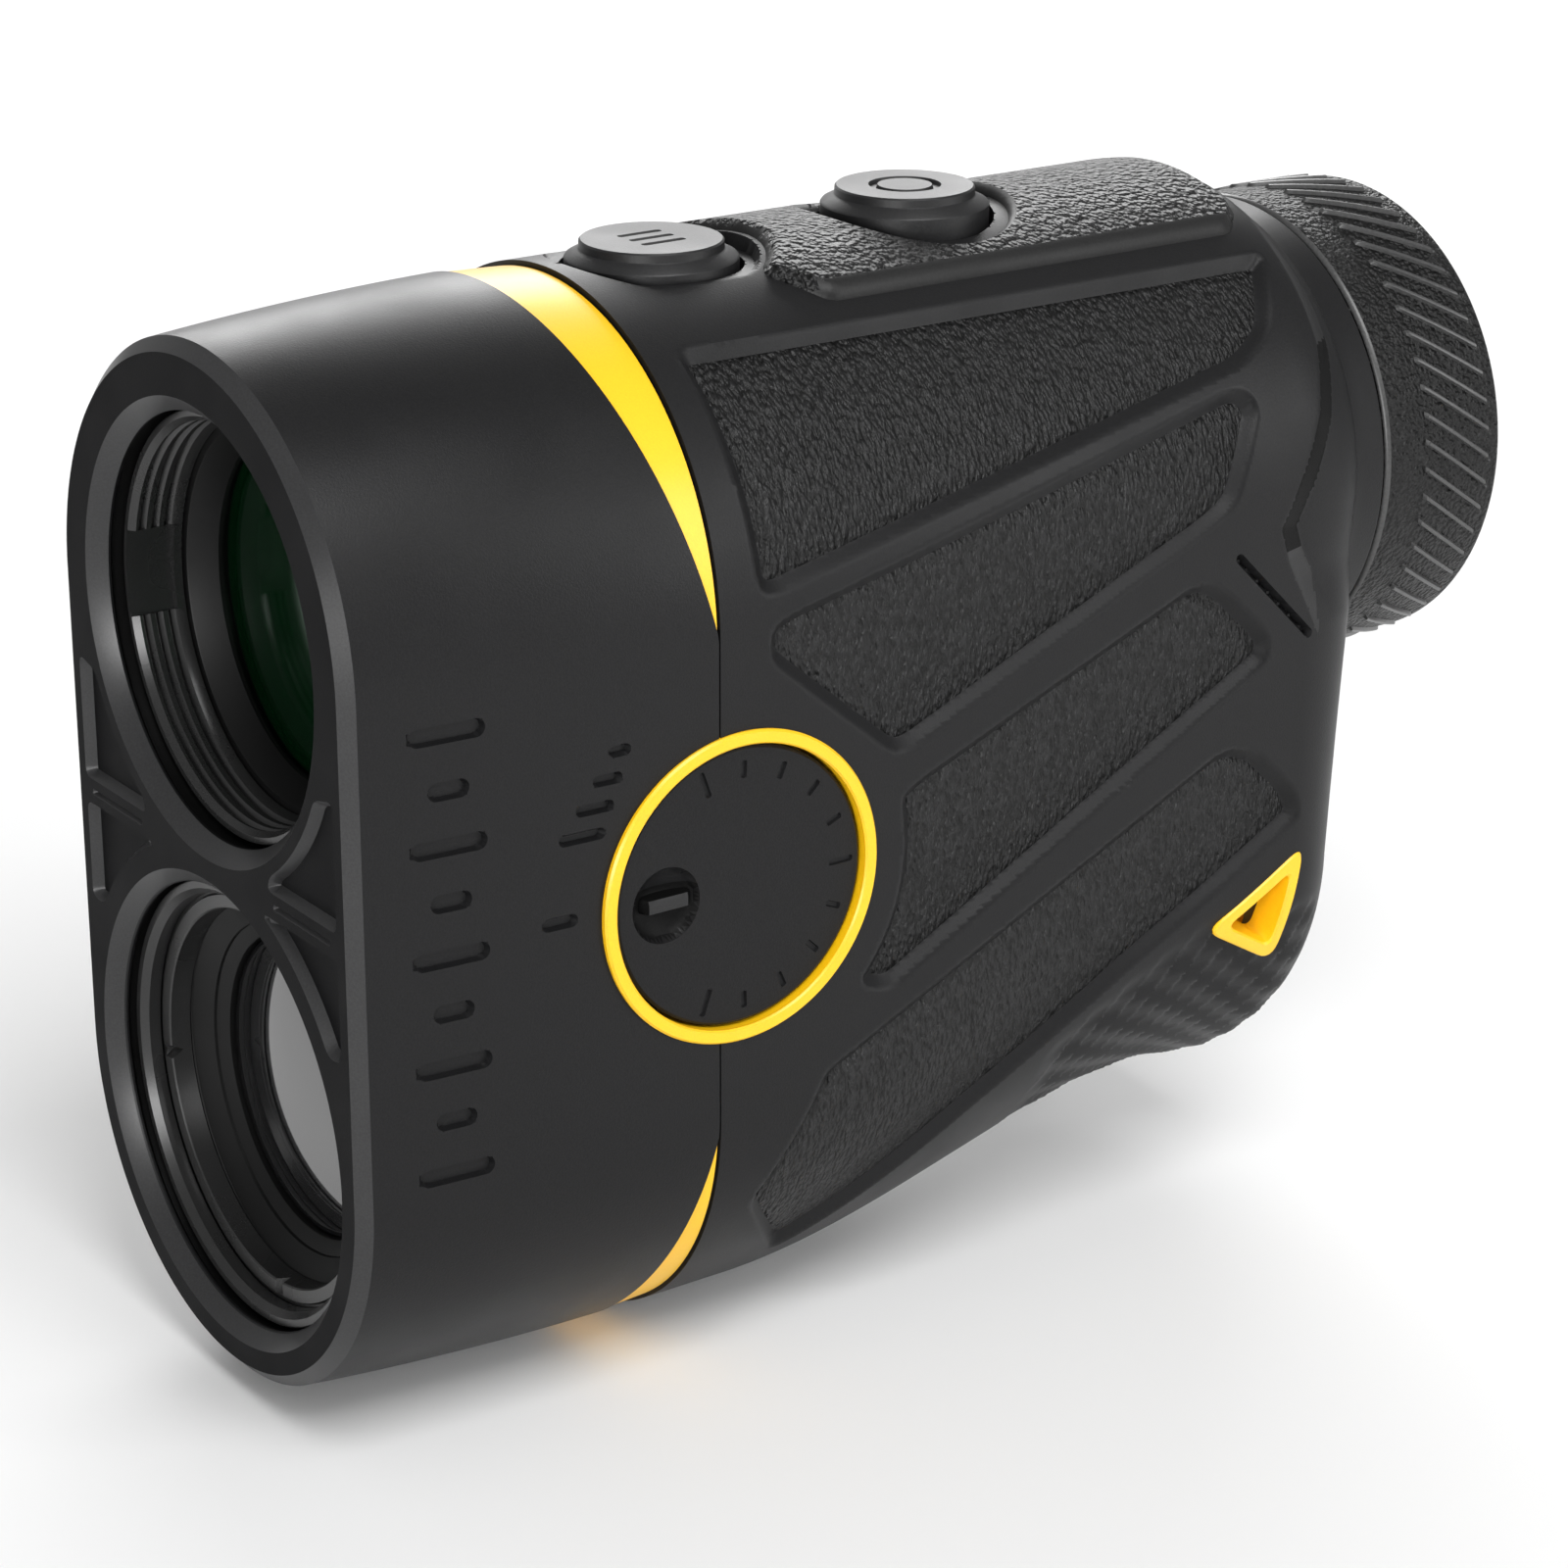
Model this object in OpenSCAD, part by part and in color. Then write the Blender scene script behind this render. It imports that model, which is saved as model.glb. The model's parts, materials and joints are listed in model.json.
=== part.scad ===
// Laser rangefinder monocular. The origin is the middle of the flat nose face, midway between the
// two lens axes. The nose looks along -Y, the eyepiece is at +Y, +Z is up, +X is the dial side.

/* [Body] */
// Length of the front shell, from the nose face to the parting line
front_len = 26.4; // [25.6:0.2:27]
// Distance from the nose face to the rear wall
rear_y = 83.2; // [82.6:0.2:84]
// Half width of the nose face
nose_r = 18.5; // [18.3:0.1:18.7]
// Half width of the body behind the nose
body_r = 20.3; // [20.1:0.1:20.6]
// Height between the upper and the lower lens axis
axis_gap = 33.4; // [33.2:0.1:33.8]
// Wall thickness of the shells
wall = 2.2; // [2:0.1:2.4]
// Rise of the underside where the fingers lie
grip_rise = 6.8; // [5:0.2:8]
// Depth of the panel pockets in the sides
pocket_depth = 0.9; // [0.7:0.1:1]
// Thickness of the grained panels in the pockets
pad_t = 0.3; // [0.3:0.1:0.6]

/* [Optics] */
// Radius of the upper aperture
upper_bore_r = 14.2; // [14:0.1:14.4]
// Radius of the lower aperture
lower_bore_r = 15.4; // [15.2:0.1:15.5]
// Radius of the objective glass
objective_r = 12.2; // [11.8:0.1:12.4]
// Radius of the receiver glass
receiver_r = 13.4; // [13:0.1:13.5]

/* [Buttons] */
// Radius of a button's top face
button_r = 4.85; // [4.5:0.05:5]
// Travel of a button
button_travel = 0.8; // [0.5:0.1:0.8]
// Distance from the nose face to the mode button
mode_y = 35; // [34.6:0.1:35.4]
// Distance from the nose face to the power button
power_y = 56; // [55:0.2:57]

/* [Dial] */
// Outer radius of the dial's ring
dial_ring_r = 10.75; // [10.6:0.05:10.8]
// Distance from the nose face to the dial's axis
dial_y = 28.2; // [28:0.1:28.4]
// Height of the dial's axis
dial_z = -0.4; // [-0.8:0.1:0]

/* [Eyepiece] */
// Radius of the diopter ring over its grip
grip_r = 17.6; // [17.2:0.1:17.8]
// Overall length of the object
overall_y = 98; // [97.6:0.1:98.4]
// Radius of the ocular cell
cell_r = 11.5; // [11.3:0.1:11.6]

/* [Lanyard eye] */
// Radius of the lanyard hole
eye_r = 1.3; // [1.1:0.1:1.5]
// Depth of the pocket around the lanyard hole
eye_depth = 3.5; // [3:0.1:4]

/* [Hidden] */
$fn = 96;
upper_z = axis_gap / 2;
lower_z = -axis_gap / 2;
// Clearance between parts that are fixed together
gap = 0.05;
// Clearance between parts that move past each other
play = 0.3;
// Clearance of a running fit
fit = 0.06;
arc_steps = 14;
loft_steps = 12;
// Where the underside starts to rise, is highest, and how far the heel drops again
rise_start = 33;
rise_end = 70;
heel_drop = 0.9;
// The rounding at the rear of the housing: its length and how far it draws in
round_len = 6.5;
round_upper = 1.7;
round_lower = 4.6;
bevel = 1.1;
front_wall = 3;
// Colours
charcoal = [0.13, 0.13, 0.13];
grain_black = [0.09, 0.09, 0.09];
yellow = [0.98, 0.82, 0.12];
alloy = [0.55, 0.56, 0.58];
dark_alloy = [0.2, 0.2, 0.21];
glass = [0.1, 0.3, 0.2, 0.5];
board_green = [0.05, 0.3, 0.15];
// The nose edge and the taper behind it: distance from the nose face, then half width
nose_profile = [
    [0, nose_r], [0.7, nose_r + 0.45], [7, nose_r + 0.95],
    [14, nose_r + 1.4], [21, body_r - 0.05], [front_len, body_r]
];
// The trim bands: where they come to a point, and their front edge at the top and underside
band_tip_up = 0.3 + upper_z;
band_tip_low = lower_z - 1.1;
band_back_up = 5.2;
band_back_low = 4.6;
band_t = 1.2;
// Button places: seat height in the housing, height of the flange under it, top face
seat_r = 7.2;
skirt_r = button_r + 1;
flange_r = skirt_r + 1.05;
mode_seat = upper_z + 19.3;
power_seat = upper_z + 20.2;
pad_proud = 0.7;
switch_h = 1.9;
board_t = 1;
// Dial: heights along X
dial_face = body_r - 0.2;
ring_face = body_r + 0.3;
cup_floor = body_r - 3.1;
cup_back = cup_floor - 1.2;
dial_shaft_r = 2;
scoop_r = 2.6;
scoop_off = 5.8;
// Eyepiece: radii outwards from the ocular cell and places along Y
tube_in = cell_r + fit;
tube_out = tube_in + 1.64;
sleeve_in = tube_out + fit;
sleeve_out = sleeve_in + 2.64;
ring_front = rear_y + 3.5;
sleeve_end = overall_y - 2.3;
pin_y = ring_front + 3.9;
ocular_travel = 2;
drive_pin_r = 0.75;
// Lanyard eye: corners of the triangle in Y and Z, and its hole
eye_corners = [[77.6, -8.5], [68.8, -13.4], [75.9, -17.6]];
eye_y = 74.1;
eye_z = -13.2;
eye_rim = 0.9;
// Side panels: corners in Y and Z
dial_clear = dial_ring_r + 2.4;
pad_top_pts = [[28.9, 33.4], [29.5, 19.6], [30.6, 18.8], [72.5, 27.2], [75.8, 28.9], [79, 33.2]];
pad_upper_pts = [
    [30.3, 14.6], [30.3, 16.5], [31.4, 17.5], [71.2, 26.1], [72.9, 24.7],
    [69.7, 18.1], [67.3, 16.8], [41.7, 6.1], [40.3, 6.2]
];
pad_middle_pts = concat(
    [[42.4, 4], [66.4, 13.4], [68.7, 12.7], [73.2, 8.4], [73.4, 7], [72.8, 6], [40.3, -10.9]],
    [for (a = [-45 : 10 : 15]) [dial_y + dial_clear * cos(a), dial_z + dial_clear * sin(a)]]
);
pad_lower_pts = [
    [35.1, -15.2], [69.6, 0.6], [72.5, -0.1], [76.4, -3.9], [77, -5.5], [76.9, -6.4],
    [62.1, -14.3], [48.7, -22.4], [34.7, -31.1], [31.2, -26.8], [29.7, -24.3], [34.5, -16.3]
];
all_pads = [pad_top_pts, pad_upper_pts, pad_middle_pts, pad_lower_pts];
// Top pad: half width and ends
top_pad_w = 10;
top_pad_start = 39.5;
top_pad_end = 79.5;
// Screws across the body, and the two posts inside the front shell
screw_r = 0.9;
screw_half = 10.5;
screw_places = [[33, -27], [75.5, -2.5], [70, 31.5], [53, -27.5]];
post_x = 11;
post_z = 0.8;
plate_start = front_len + 0.1;
plate_end = front_len + 2.6;
// Port plate in the rear wall
port_z = -8.6;
port_w = 18;
port_h = 15;
flap_w = 13.4;
flap_axis_y = rear_y - 0.75;
flap_axis_z = port_z - 4.6;

function clamp01(t) = min(max(t, 0), 1);
function smooth(t) = let (u = clamp01(t)) u * u * (3 - 2 * u);
function rise(y) = grip_rise * smooth((y - rise_start) / (rise_end - rise_start))
    - heel_drop * smooth((y - rise_end) / 10);
function drawn_in(y, depth) = let (t = clamp01((y - rear_y + round_len) / round_len))
    depth * (1 - sqrt(1 - t * t));
function upper_r(y) = body_r - drawn_in(y, round_upper);
function lower_r(y) = body_r - drawn_in(y, round_lower);
// One section of the housing: a half circle about the upper axis, another about the risen lower one
function section(y, grow) = concat(
    [for (i = [0 : arc_steps]) let (a = 180 * i / arc_steps)
        [(upper_r(y) + grow) * cos(a), y, upper_z + (upper_r(y) + grow) * sin(a)]],
    [for (i = [0 : arc_steps]) let (a = 180 + 180 * i / arc_steps)
        [(lower_r(y) + grow) * cos(a), y, lower_z + rise(y) + (lower_r(y) + grow) * sin(a)]]
);

// The housing's outer surface moved outwards by grow, between two distances from the nose
module loft(y0, y1, grow) {
    n = 2 * (arc_steps + 1);
    ring_y = [for (k = [0 : loft_steps]) y0 + (y1 - y0) * sin(90 * k / loft_steps)];
    pts = [for (y = ring_y) each section(y, grow)];
    sides = [for (k = [0 : loft_steps - 1]) for (i = [0 : n - 1])
        let (a = k * n + i, b = k * n + (i + 1) % n) each [[a, b, b + n], [a, b + n, a + n]]];
    caps = [[for (i = [n - 1 : -1 : 0]) i], [for (i = [0 : n - 1]) loft_steps * n + i]];
    polyhedron(pts, concat(sides, caps));
}

// A body with half round ends about both lens axes, from points of distance and half width
module stadium_body(pts) {
    first = pts[0][0];
    last = pts[len(pts) - 1][0];
    half = concat([for (p = pts) [p[1], -p[0]]], [[0, -last], [0, -first]]);
    side = concat([for (p = pts) [p[1], p[0]]],
        [for (i = [len(pts) - 1 : -1 : 0]) [-pts[i][1], pts[i][0]]]);
    translate([0, 0, upper_z]) rotate([90, 0, 0]) rotate_extrude(angle = 180) polygon(half);
    mirror([0, 0, 1]) translate([0, 0, -lower_z]) rotate([90, 0, 0])
        rotate_extrude(angle = 180) polygon(half);
    translate([0, 0, lower_z]) linear_extrude(axis_gap) polygon(side);
}

// A cylinder along +Y from y0 to y1 about the axis at height z
module along_y(r, y0, y1, z = 0, x = 0) {
    translate([x, y0, z]) rotate([-90, 0, 0]) cylinder(r = r, h = y1 - y0);
}

// A tube along +Y
module tube_y(r_out, r_in, y0, y1, z = 0) {
    difference() {
        along_y(r_out, y0, y1, z);
        along_y(r_in, y0 - 1, y1 + 1, z);
    }
}

// A solid turned about the Y axis at height z from points of radius and distance
module turned_y(pts, z = 0) {
    translate([0, 0, z]) rotate([-90, 0, 0]) rotate_extrude() polygon(pts);
}

// A cylinder along +X from x0 to x1
module along_x(r, x0, x1, y, z) {
    translate([x0, y, z]) rotate([0, 90, 0]) cylinder(r = r, h = x1 - x0);
}

// An outline of Y and Z points, extruded along +X from x0 to x1
module prism_x(pts, x0, x1) {
    translate([x0, 0, 0]) rotate([90, 0, 90]) linear_extrude(x1 - x0) polygon(pts);
}

// Box from its low and high corners
module box(low, high) {
    translate(low) cube(high - low);
}

module mirrored(side) {
    if (side > 0) children();
    else mirror([1, 0, 0]) children();
}

// The wedge between the bevelled edge of the front shell and the parting line
module band_wedge() {
    top = upper_z + body_r + 2;
    low = lower_z - body_r - 2;
    up_slope = band_back_up / (body_r + upper_z - band_tip_up);
    low_slope = band_back_low / (body_r + band_tip_low - lower_z);
    prism_x([[front_len, band_tip_up], [front_len, top],
        [front_len - up_slope * (top - band_tip_up), top]], -30, 30);
    prism_x([[front_len, band_tip_low], [front_len, low],
        [front_len - low_slope * (band_tip_low - low), low]], -30, 30);
}

module trim_band(z_low, z_high) {
    intersection() {
        difference() {
            stadium_body(nose_profile);
            stadium_body([[-1, nose_r - band_t], [7, nose_r + 0.95 - band_t],
                [21, body_r - band_t], [front_len + 1, body_r - band_t]]);
        }
        band_wedge();
        box([-30, 0, z_low], [30, front_len, z_high]);
    }
}

module dial_pocket() {
    along_x(dial_ring_r + gap, cup_back - 2, body_r + 5, dial_y, dial_z);
}

module aperture(r, z) {
    along_y(r, -1, front_wall + 1, z);
    turned_y([[0, -1], [r + bevel + 1, -1], [r, bevel], [0, bevel]], z);
}

// The front shell, tapered to the nose, with its two bevelled apertures
module front_shell() {
    color(charcoal) difference() {
        union() {
            difference() {
                stadium_body(nose_profile);
                stadium_body([[front_wall, nose_r - wall + 0.7], [14, nose_r + 1.4 - wall],
                    [21, body_r - wall], [front_len + 1, body_r - wall]]);
            }
            for (x = [-post_x, post_x]) along_y(2.3, front_wall - 0.5, plate_start - gap, post_z, x);
        }
        for (x = [-post_x, post_x]) along_y(screw_r, plate_start - 7, plate_end, post_z, x);
        aperture(upper_bore_r, upper_z);
        aperture(lower_bore_r, lower_z);
        difference() {
            band_wedge();
            stadium_body([[-1, nose_r - band_t], [7, nose_r + 0.95 - band_t],
                [21, body_r - band_t], [front_len + 1, body_r - band_t]]);
        }
        dial_pocket();
    }
}

module trim_band_upper() {
    color(yellow) trim_band(0, 60);
}

module trim_band_lower() {
    color(yellow) trim_band(-60, 0);
}

// Material around a button's bore inside the housing
module button_boss(y, seat) {
    translate([0, y, seat - 4.2]) cylinder(r = seat_r + 1.4, h = 3);
}

// Recess over a button, bore for its skirt and room for its flange
module button_bore(y, seat) {
    translate([0, y, seat]) cylinder(r = seat_r, h = 10);
    translate([0, y, seat - 8]) cylinder(r = skirt_r + play, h = 10);
    translate([0, y, seat - 8]) cylinder(r = flange_r + play, h = 6.6);
}

module lanyard_prism(grow, x0, x1) {
    mid = (eye_corners[0] + eye_corners[1] + eye_corners[2]) / 3;
    prism_x([for (p = eye_corners) mid + (p - mid) * (1 + grow / 3.2)], x0, x1);
}

module port_opening(grow) {
    box([-port_w / 2 - grow, rear_y - 3 - grow, port_z - port_h / 2 - grow],
        [port_w / 2 + grow, rear_y + 1, port_z + port_h / 2 + grow]);
}

// Bosses for the screws between the two housing halves
module screw_bosses() {
    for (p = screw_places) along_x(2.6, -20, 20, p[0], p[1]);
}

// What is left under the pockets of the side panels
module pocket_floor() {
    loft(front_len - 1, rear_y - 0.4, -pocket_depth);
}

// One half of the rear housing: side is 1 for the dial side and -1 for the other
module housing_half(side) {
    inner_x = 0.02;
    difference() {
        intersection() {
            union() {
                difference() {
                    loft(front_len, rear_y, 0);
                    loft(front_len - 2, rear_y - wall, -wall);
                }
                intersection() {
                    loft(front_len, rear_y, 0);
                    union() {
                        button_boss(mode_y, mode_seat);
                        button_boss(power_y, power_seat);
                        screw_bosses();
                    }
                }
            }
            mirrored(side) box([inner_x, front_len, -60], [60, 90, 60]);
        }
        difference() {
            mirrored(side) for (pts = all_pads) prism_x(pts, 6, 30);
            pocket_floor();
        }
        button_bore(mode_y, mode_seat);
        button_bore(power_y, power_seat);
        if (side > 0) dial_pocket();
        mirrored(side) lanyard_prism(gap / 2, 10, 30);
        along_x(2.2 + gap, -30, 30, eye_y, eye_z);
        port_opening(gap);
        along_y(tube_out + gap, 60, 90, upper_z);
        for (p = screw_places) along_x(screw_r, -screw_half - 0.5, screw_half + 0.5, p[0], p[1]);
    }
}

module left_housing() {
    color(charcoal) housing_half(1);
}

module right_housing() {
    color(charcoal) housing_half(-1);
}

// A grained panel lying in its pocket
module side_pad(pts, side) {
    color(grain_black) difference() {
        intersection() {
            mirrored(side) prism_x(pts, 6, 30);
            loft(front_len - 1, rear_y - 0.4, pad_t - pocket_depth);
        }
        pocket_floor();
    }
}

module left_pad_top() { side_pad(pad_top_pts, 1); }
module left_pad_upper() { side_pad(pad_upper_pts, 1); }
module left_pad_middle() { side_pad(pad_middle_pts, 1); }
module left_pad_lower() { side_pad(pad_lower_pts, 1); }
module right_pad_top() { side_pad(pad_top_pts, -1); }
module right_pad_upper() { side_pad(pad_upper_pts, -1); }
module right_pad_middle() { side_pad(pad_middle_pts, -1); }
module right_pad_lower() { side_pad(pad_lower_pts, -1); }

// The raised grip pad on the top, open around the power button
module top_grip_pad() {
    cut = 2;
    outline = [
        [-top_pad_w, top_pad_start + 3], [-top_pad_w + 3, top_pad_start], [top_pad_w - 3, top_pad_start],
        [top_pad_w, top_pad_start + 3], [top_pad_w, top_pad_end - cut], [top_pad_w - cut, top_pad_end],
        [-top_pad_w + cut, top_pad_end], [-top_pad_w, top_pad_end - cut]
    ];
    color(grain_black) difference() {
        intersection() {
            translate([0, 0, upper_z]) linear_extrude(30) polygon(outline);
            loft(front_len, rear_y, pad_proud);
        }
        loft(front_len, rear_y, 0);
        translate([0, power_y, upper_z]) cylinder(r = seat_r, h = 30);
        translate([0, mode_y, upper_z]) cylinder(r = seat_r + 0.4, h = 30);
    }
}

// Fixed collar between the housing and the diopter ring
module eyepiece_collar() {
    color(charcoal) turned_y([
        [tube_out + gap, rear_y + gap], [body_r - round_upper, rear_y + gap],
        [body_r - round_upper - 0.3, rear_y + 1], [grip_r - 0.1, ring_front - play - 0.4],
        [grip_r - 0.5, ring_front - play], [tube_out + gap, ring_front - play]
    ], upper_z);
}

// Fixed tube that guides the ocular cell, with two slots for the drive pins
module eyepiece_tube() {
    flange_y = rear_y - wall - gap;
    slot = drive_pin_r + gap;
    color(dark_alloy) difference() {
        union() {
            along_y(tube_out, flange_y - 18, sleeve_end - 0.5, upper_z);
            along_y(tube_out + 2.2, flange_y - 2, flange_y, upper_z);
        }
        along_y(tube_in, flange_y - 20, sleeve_end + 1, upper_z);
        for (side = [-1, 1]) mirrored(side)
            box([cell_r - 3, pin_y - ocular_travel - slot, upper_z - slot],
                [tube_out + 1, pin_y + ocular_travel + slot, upper_z + slot]);
    }
}

// Ring and cup that hold the dial, with the bush for its shaft
module dial_ring() {
    wall_r = dial_ring_r - 0.9;
    color(yellow) difference() {
        along_x(dial_ring_r, cup_back, ring_face, dial_y, dial_z);
        along_x(wall_r, cup_floor, ring_face + 1, dial_y, dial_z);
        along_x(dial_shaft_r + fit, cup_back - 1, ring_face, dial_y, dial_z);
    }
}

module lanyard_insert(side) {
    color(yellow) mirrored(side) difference() {
        intersection() {
            lanyard_prism(0, body_r - eye_depth - 1.2, 30);
            loft(front_len, rear_y, 0.15);
        }
        lanyard_prism(-eye_rim, body_r - eye_depth, 32);
        along_x(eye_r, 0, 30, eye_y, eye_z);
    }
}

module lanyard_insert_left() { lanyard_insert(1); }
module lanyard_insert_right() { lanyard_insert(-1); }

// Tube that carries the lanyard through the body from one insert to the other
module lanyard_tube() {
    half = body_r - eye_depth - 1.2 - gap;
    color(alloy) difference() {
        along_x(2.2, -half, half, eye_y, eye_z);
        along_x(eye_r, -half - 1, half + 1, eye_y, eye_z);
    }
}

// Barrel that holds a lens behind an aperture
module barrel(r, lens_r, z, y1) {
    lens_y = 8.3;
    color(dark_alloy) turned_y([
        [lens_r + gap, front_wall + 3.3], [r - gap, front_wall + 3.3], [r - gap, 15],
        [r - 1.2, 17], [r - 1.2, y1], [lens_r - 2.2, y1], [lens_r - 2.2, lens_y + 6],
        [lens_r - 0.8, lens_y + 5], [lens_r + gap, lens_y + 5]
    ], z);
}

module objective_barrel() { barrel(upper_bore_r, objective_r, upper_z, 30); }
module receiver_barrel() { barrel(lower_bore_r, receiver_r, lower_z, 26); }

// Notched ring that holds a lens in its barrel: three grooves stand for its thread
module retaining_ring(r, lens_r, z) {
    groove = 0.5;
    start = front_wall + 0.2;
    color(dark_alloy) difference() {
        turned_y(concat(
            [[r - gap, start], [r - gap, start + 3]],
            [[lens_r - 0.4, start + 3], [lens_r - 0.4, start + 2.9]],
            [for (k = [2 : -1 : 0]) each [
                [lens_r + 0.2, start + 0.6 + k * 0.75 + groove],
                [lens_r + 0.6, start + 0.6 + k * 0.75 + groove / 2],
                [lens_r + 0.2, start + 0.6 + k * 0.75]]],
            [[lens_r + 0.5, start]]
        ), z);
        for (side = [-1, 1]) mirrored(side)
            box([lens_r, start - 1, z - 2.6], [lens_r + 0.9, start + 2.2, z + 2.6]);
    }
}

module objective_ring() { retaining_ring(upper_bore_r, objective_r, upper_z); }
module receiver_ring() { retaining_ring(lower_bore_r, receiver_r, lower_z); }

// Round lens with a bulged front face of height sag
module lens(r, sag, y0, t, z) {
    ball_r = (r * r + sag * sag) / (2 * sag);
    intersection() {
        along_y(r, y0 - sag, y0 + t, z);
        translate([0, y0 - sag + ball_r, z]) rotate([90, 0, 0]) sphere(r = ball_r);
    }
}

module objective_lens() {
    color(glass) lens(objective_r, 1.4, 8.3, 4.6, upper_z);
}

module receiver_lens() {
    color(glass) lens(receiver_r, 2, 8.3, 4.8, lower_z);
}

// Frame that carries the barrels, the prisms and the eyepiece tube
module optical_chassis() {
    plate_x = 13.6;
    plate_r = body_r - wall - 0.5;
    color(alloy) difference() {
        union() {
            intersection() {
                stadium_body([[plate_start, plate_r], [plate_end, plate_r]]);
                box([-30, 20, -60], [30, 40, 31.4]);
            }
            intersection() {
                stadium_body([[59, plate_r], [62, plate_r]]);
                box([-plate_x, 58, -6], [plate_x, 63, 29.5]);
            }
            for (side = [-1, 1]) mirrored(side) {
                box([10.6, plate_end - 1, 3.4], [plate_x, 60, 6]);
                box([10.6, plate_end - 1, 25], [plate_x, 60, 28.5]);
            }
        }
        along_y(upper_bore_r - 1.2 + gap, 20, plate_end + 0.5, upper_z);
        along_y(10.4, 50, 63, upper_z);
        along_y(10.8, 20, 30, lower_z + 2);
        along_x(dial_ring_r + 1, 13.2, 30, dial_y, dial_z);
        for (x = [-post_x, post_x]) along_y(screw_r, 20, 40, post_z, x);
    }
}

// Open cage around the prisms
module prism_cage() {
    color(dark_alloy) difference() {
        box([-10.4, 33, upper_z - 10], [10.4, 57, upper_z + 8]);
        box([-8.4, 32, upper_z - 8], [8.4, 58, upper_z + 6.4]);
    }
}

// The two halves of the erecting prism, seen as their outlines in Y and Z
module prism_front() {
    color(glass) prism_x([
        [34, upper_z - 7.6], [45, upper_z - 7.6], [39, upper_z + 6], [34, upper_z + 6]
    ], -7.8, 7.8);
}

module prism_rear() {
    color(glass) prism_x([
        [45.6, upper_z - 7.6], [56, upper_z - 7.6], [56, upper_z + 6], [39.7, upper_z + 6]
    ], -7.8, 7.8);
}

// Clear display that lays the reading over the view
module reticle_display() {
    color([0.2, 0.25, 0.25, 0.7]) box([-8, 57.2, upper_z - 7.5], [8, 58.8, upper_z + 6]);
}

module laser_module() {
    color(alloy) {
        along_y(3.6, 34, 44, 0.6);
        box([-5, 44.05, -3.6], [5, 46, 4.6]);
    }
}

// Light detector behind the receiver lens, in its own can on a small board
module detector_module() {
    color(alloy) along_y(4.2, 40, 45, lower_z + 2);
    color(board_green) box([-8, 45.05, lower_z - 5], [8, 46.5, lower_z + 9]);
}

module main_board() {
    color(board_green) box([-16.4, 32, -12.5], [-15.2, 68, 14.5]);
}

// Chips and cans on the inner face of the main board
module board_components() {
    color([0.12, 0.12, 0.12]) {
        box([-15.15, 37, -8], [-13.95, 45, 0]);
        box([-15.15, 48, 2], [-14.15, 54, 8]);
        box([-15.15, 49, -6], [-13.95, 56, -1]);
        for (k = [0 : 3]) box([-15.15, 48 + 3 * k, -9], [-14.35, 50 + 3 * k, -7]);
    }
}

module button_board() {
    top = mode_seat - 2.3 - button_travel - 0.1 - switch_h;
    color(board_green) box([-5.5, mode_y - 5, top - board_t], [5.5, power_y + 5, top]);
}

module button_switches() {
    top = mode_seat - 2.3 - button_travel - 0.1;
    rise_p = power_seat - mode_seat;
    color(dark_alloy) {
        translate([0, mode_y, top - switch_h]) cylinder(r = 2.2, h = switch_h);
        translate([0, power_y, top - switch_h]) cylinder(r = 2.2, h = switch_h + rise_p);
    }
}

module battery_tray() {
    color(dark_alloy) difference() {
        box([-11, 47.5, -22.5], [11, 71, -7.5]);
        box([-9.6, 46, -20.9], [9.6, 69.6, -6]);
    }
}

module battery_cell() {
    color([0.25, 0.4, 0.6]) box([-9.4, 48, -20.7], [9.4, 69.4, -8.4]);
}

module usb_socket() {
    color(alloy) difference() {
        box([-4.9, rear_y - 9, port_z - 2], [4.9, rear_y - 3 - gap, port_z + 2]);
        box([-4.5, rear_y - 8, port_z - 1.6], [4.5, rear_y, port_z + 1.6]);
    }
}

// Plate in the rear wall with the recess for the port cover
module port_plate() {
    depth = 2.1;
    color(charcoal) difference() {
        port_opening(0);
        box([-50, rear_y, -50], [50, rear_y + 5, 50]);
        box([-flap_w / 2 - play, rear_y - depth, flap_axis_z - 1.4],
            [flap_w / 2 + play, rear_y + 1, port_z + 4]);
        box([-4.6, rear_y - 5, port_z - 1.7], [4.6, rear_y, port_z + 1.7]);
        along_x(0.5, -flap_w / 2 - 1.2, flap_w / 2 + 1.2, flap_axis_y, flap_axis_z);
    }
}

module usb_hinge_pin() {
    color(alloy) along_x(0.5, -flap_w / 2 - 1.1, flap_w / 2 + 1.1, flap_axis_y, flap_axis_z);
}

// Rubber cover of the port, with its knuckle and its plug
module usb_cover() {
    half = flap_w / 2;
    color(grain_black) difference() {
        union() {
            box([-half, rear_y - 1.6, flap_axis_z], [half, rear_y - 0.1, port_z + 3.6]);
            along_x(1.05, -half, half, flap_axis_y, flap_axis_z);
            box([-3.8, rear_y - 2.9, port_z - 0.9], [3.8, rear_y - 1.5, port_z + 0.6]);
        }
        along_x(0.5 + fit, -half - 1, half + 1, flap_axis_y, flap_axis_z);
    }
}

// Screws that hold the chassis to the posts of the front shell, with their heads behind it
module front_screws() {
    color(alloy) for (side = [-1, 1]) mirrored(side) {
        along_y(1.7, plate_end + gap, plate_end + 1.2, post_z, post_x);
        along_y(screw_r - gap, plate_start - 6, plate_end + 0.5, post_z, post_x);
    }
}

// Screws across the parting plane of the two housing halves
module case_screws() {
    color(alloy) for (p = screw_places) along_x(screw_r - gap, -screw_half, screw_half, p[0], p[1]);
}

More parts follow.
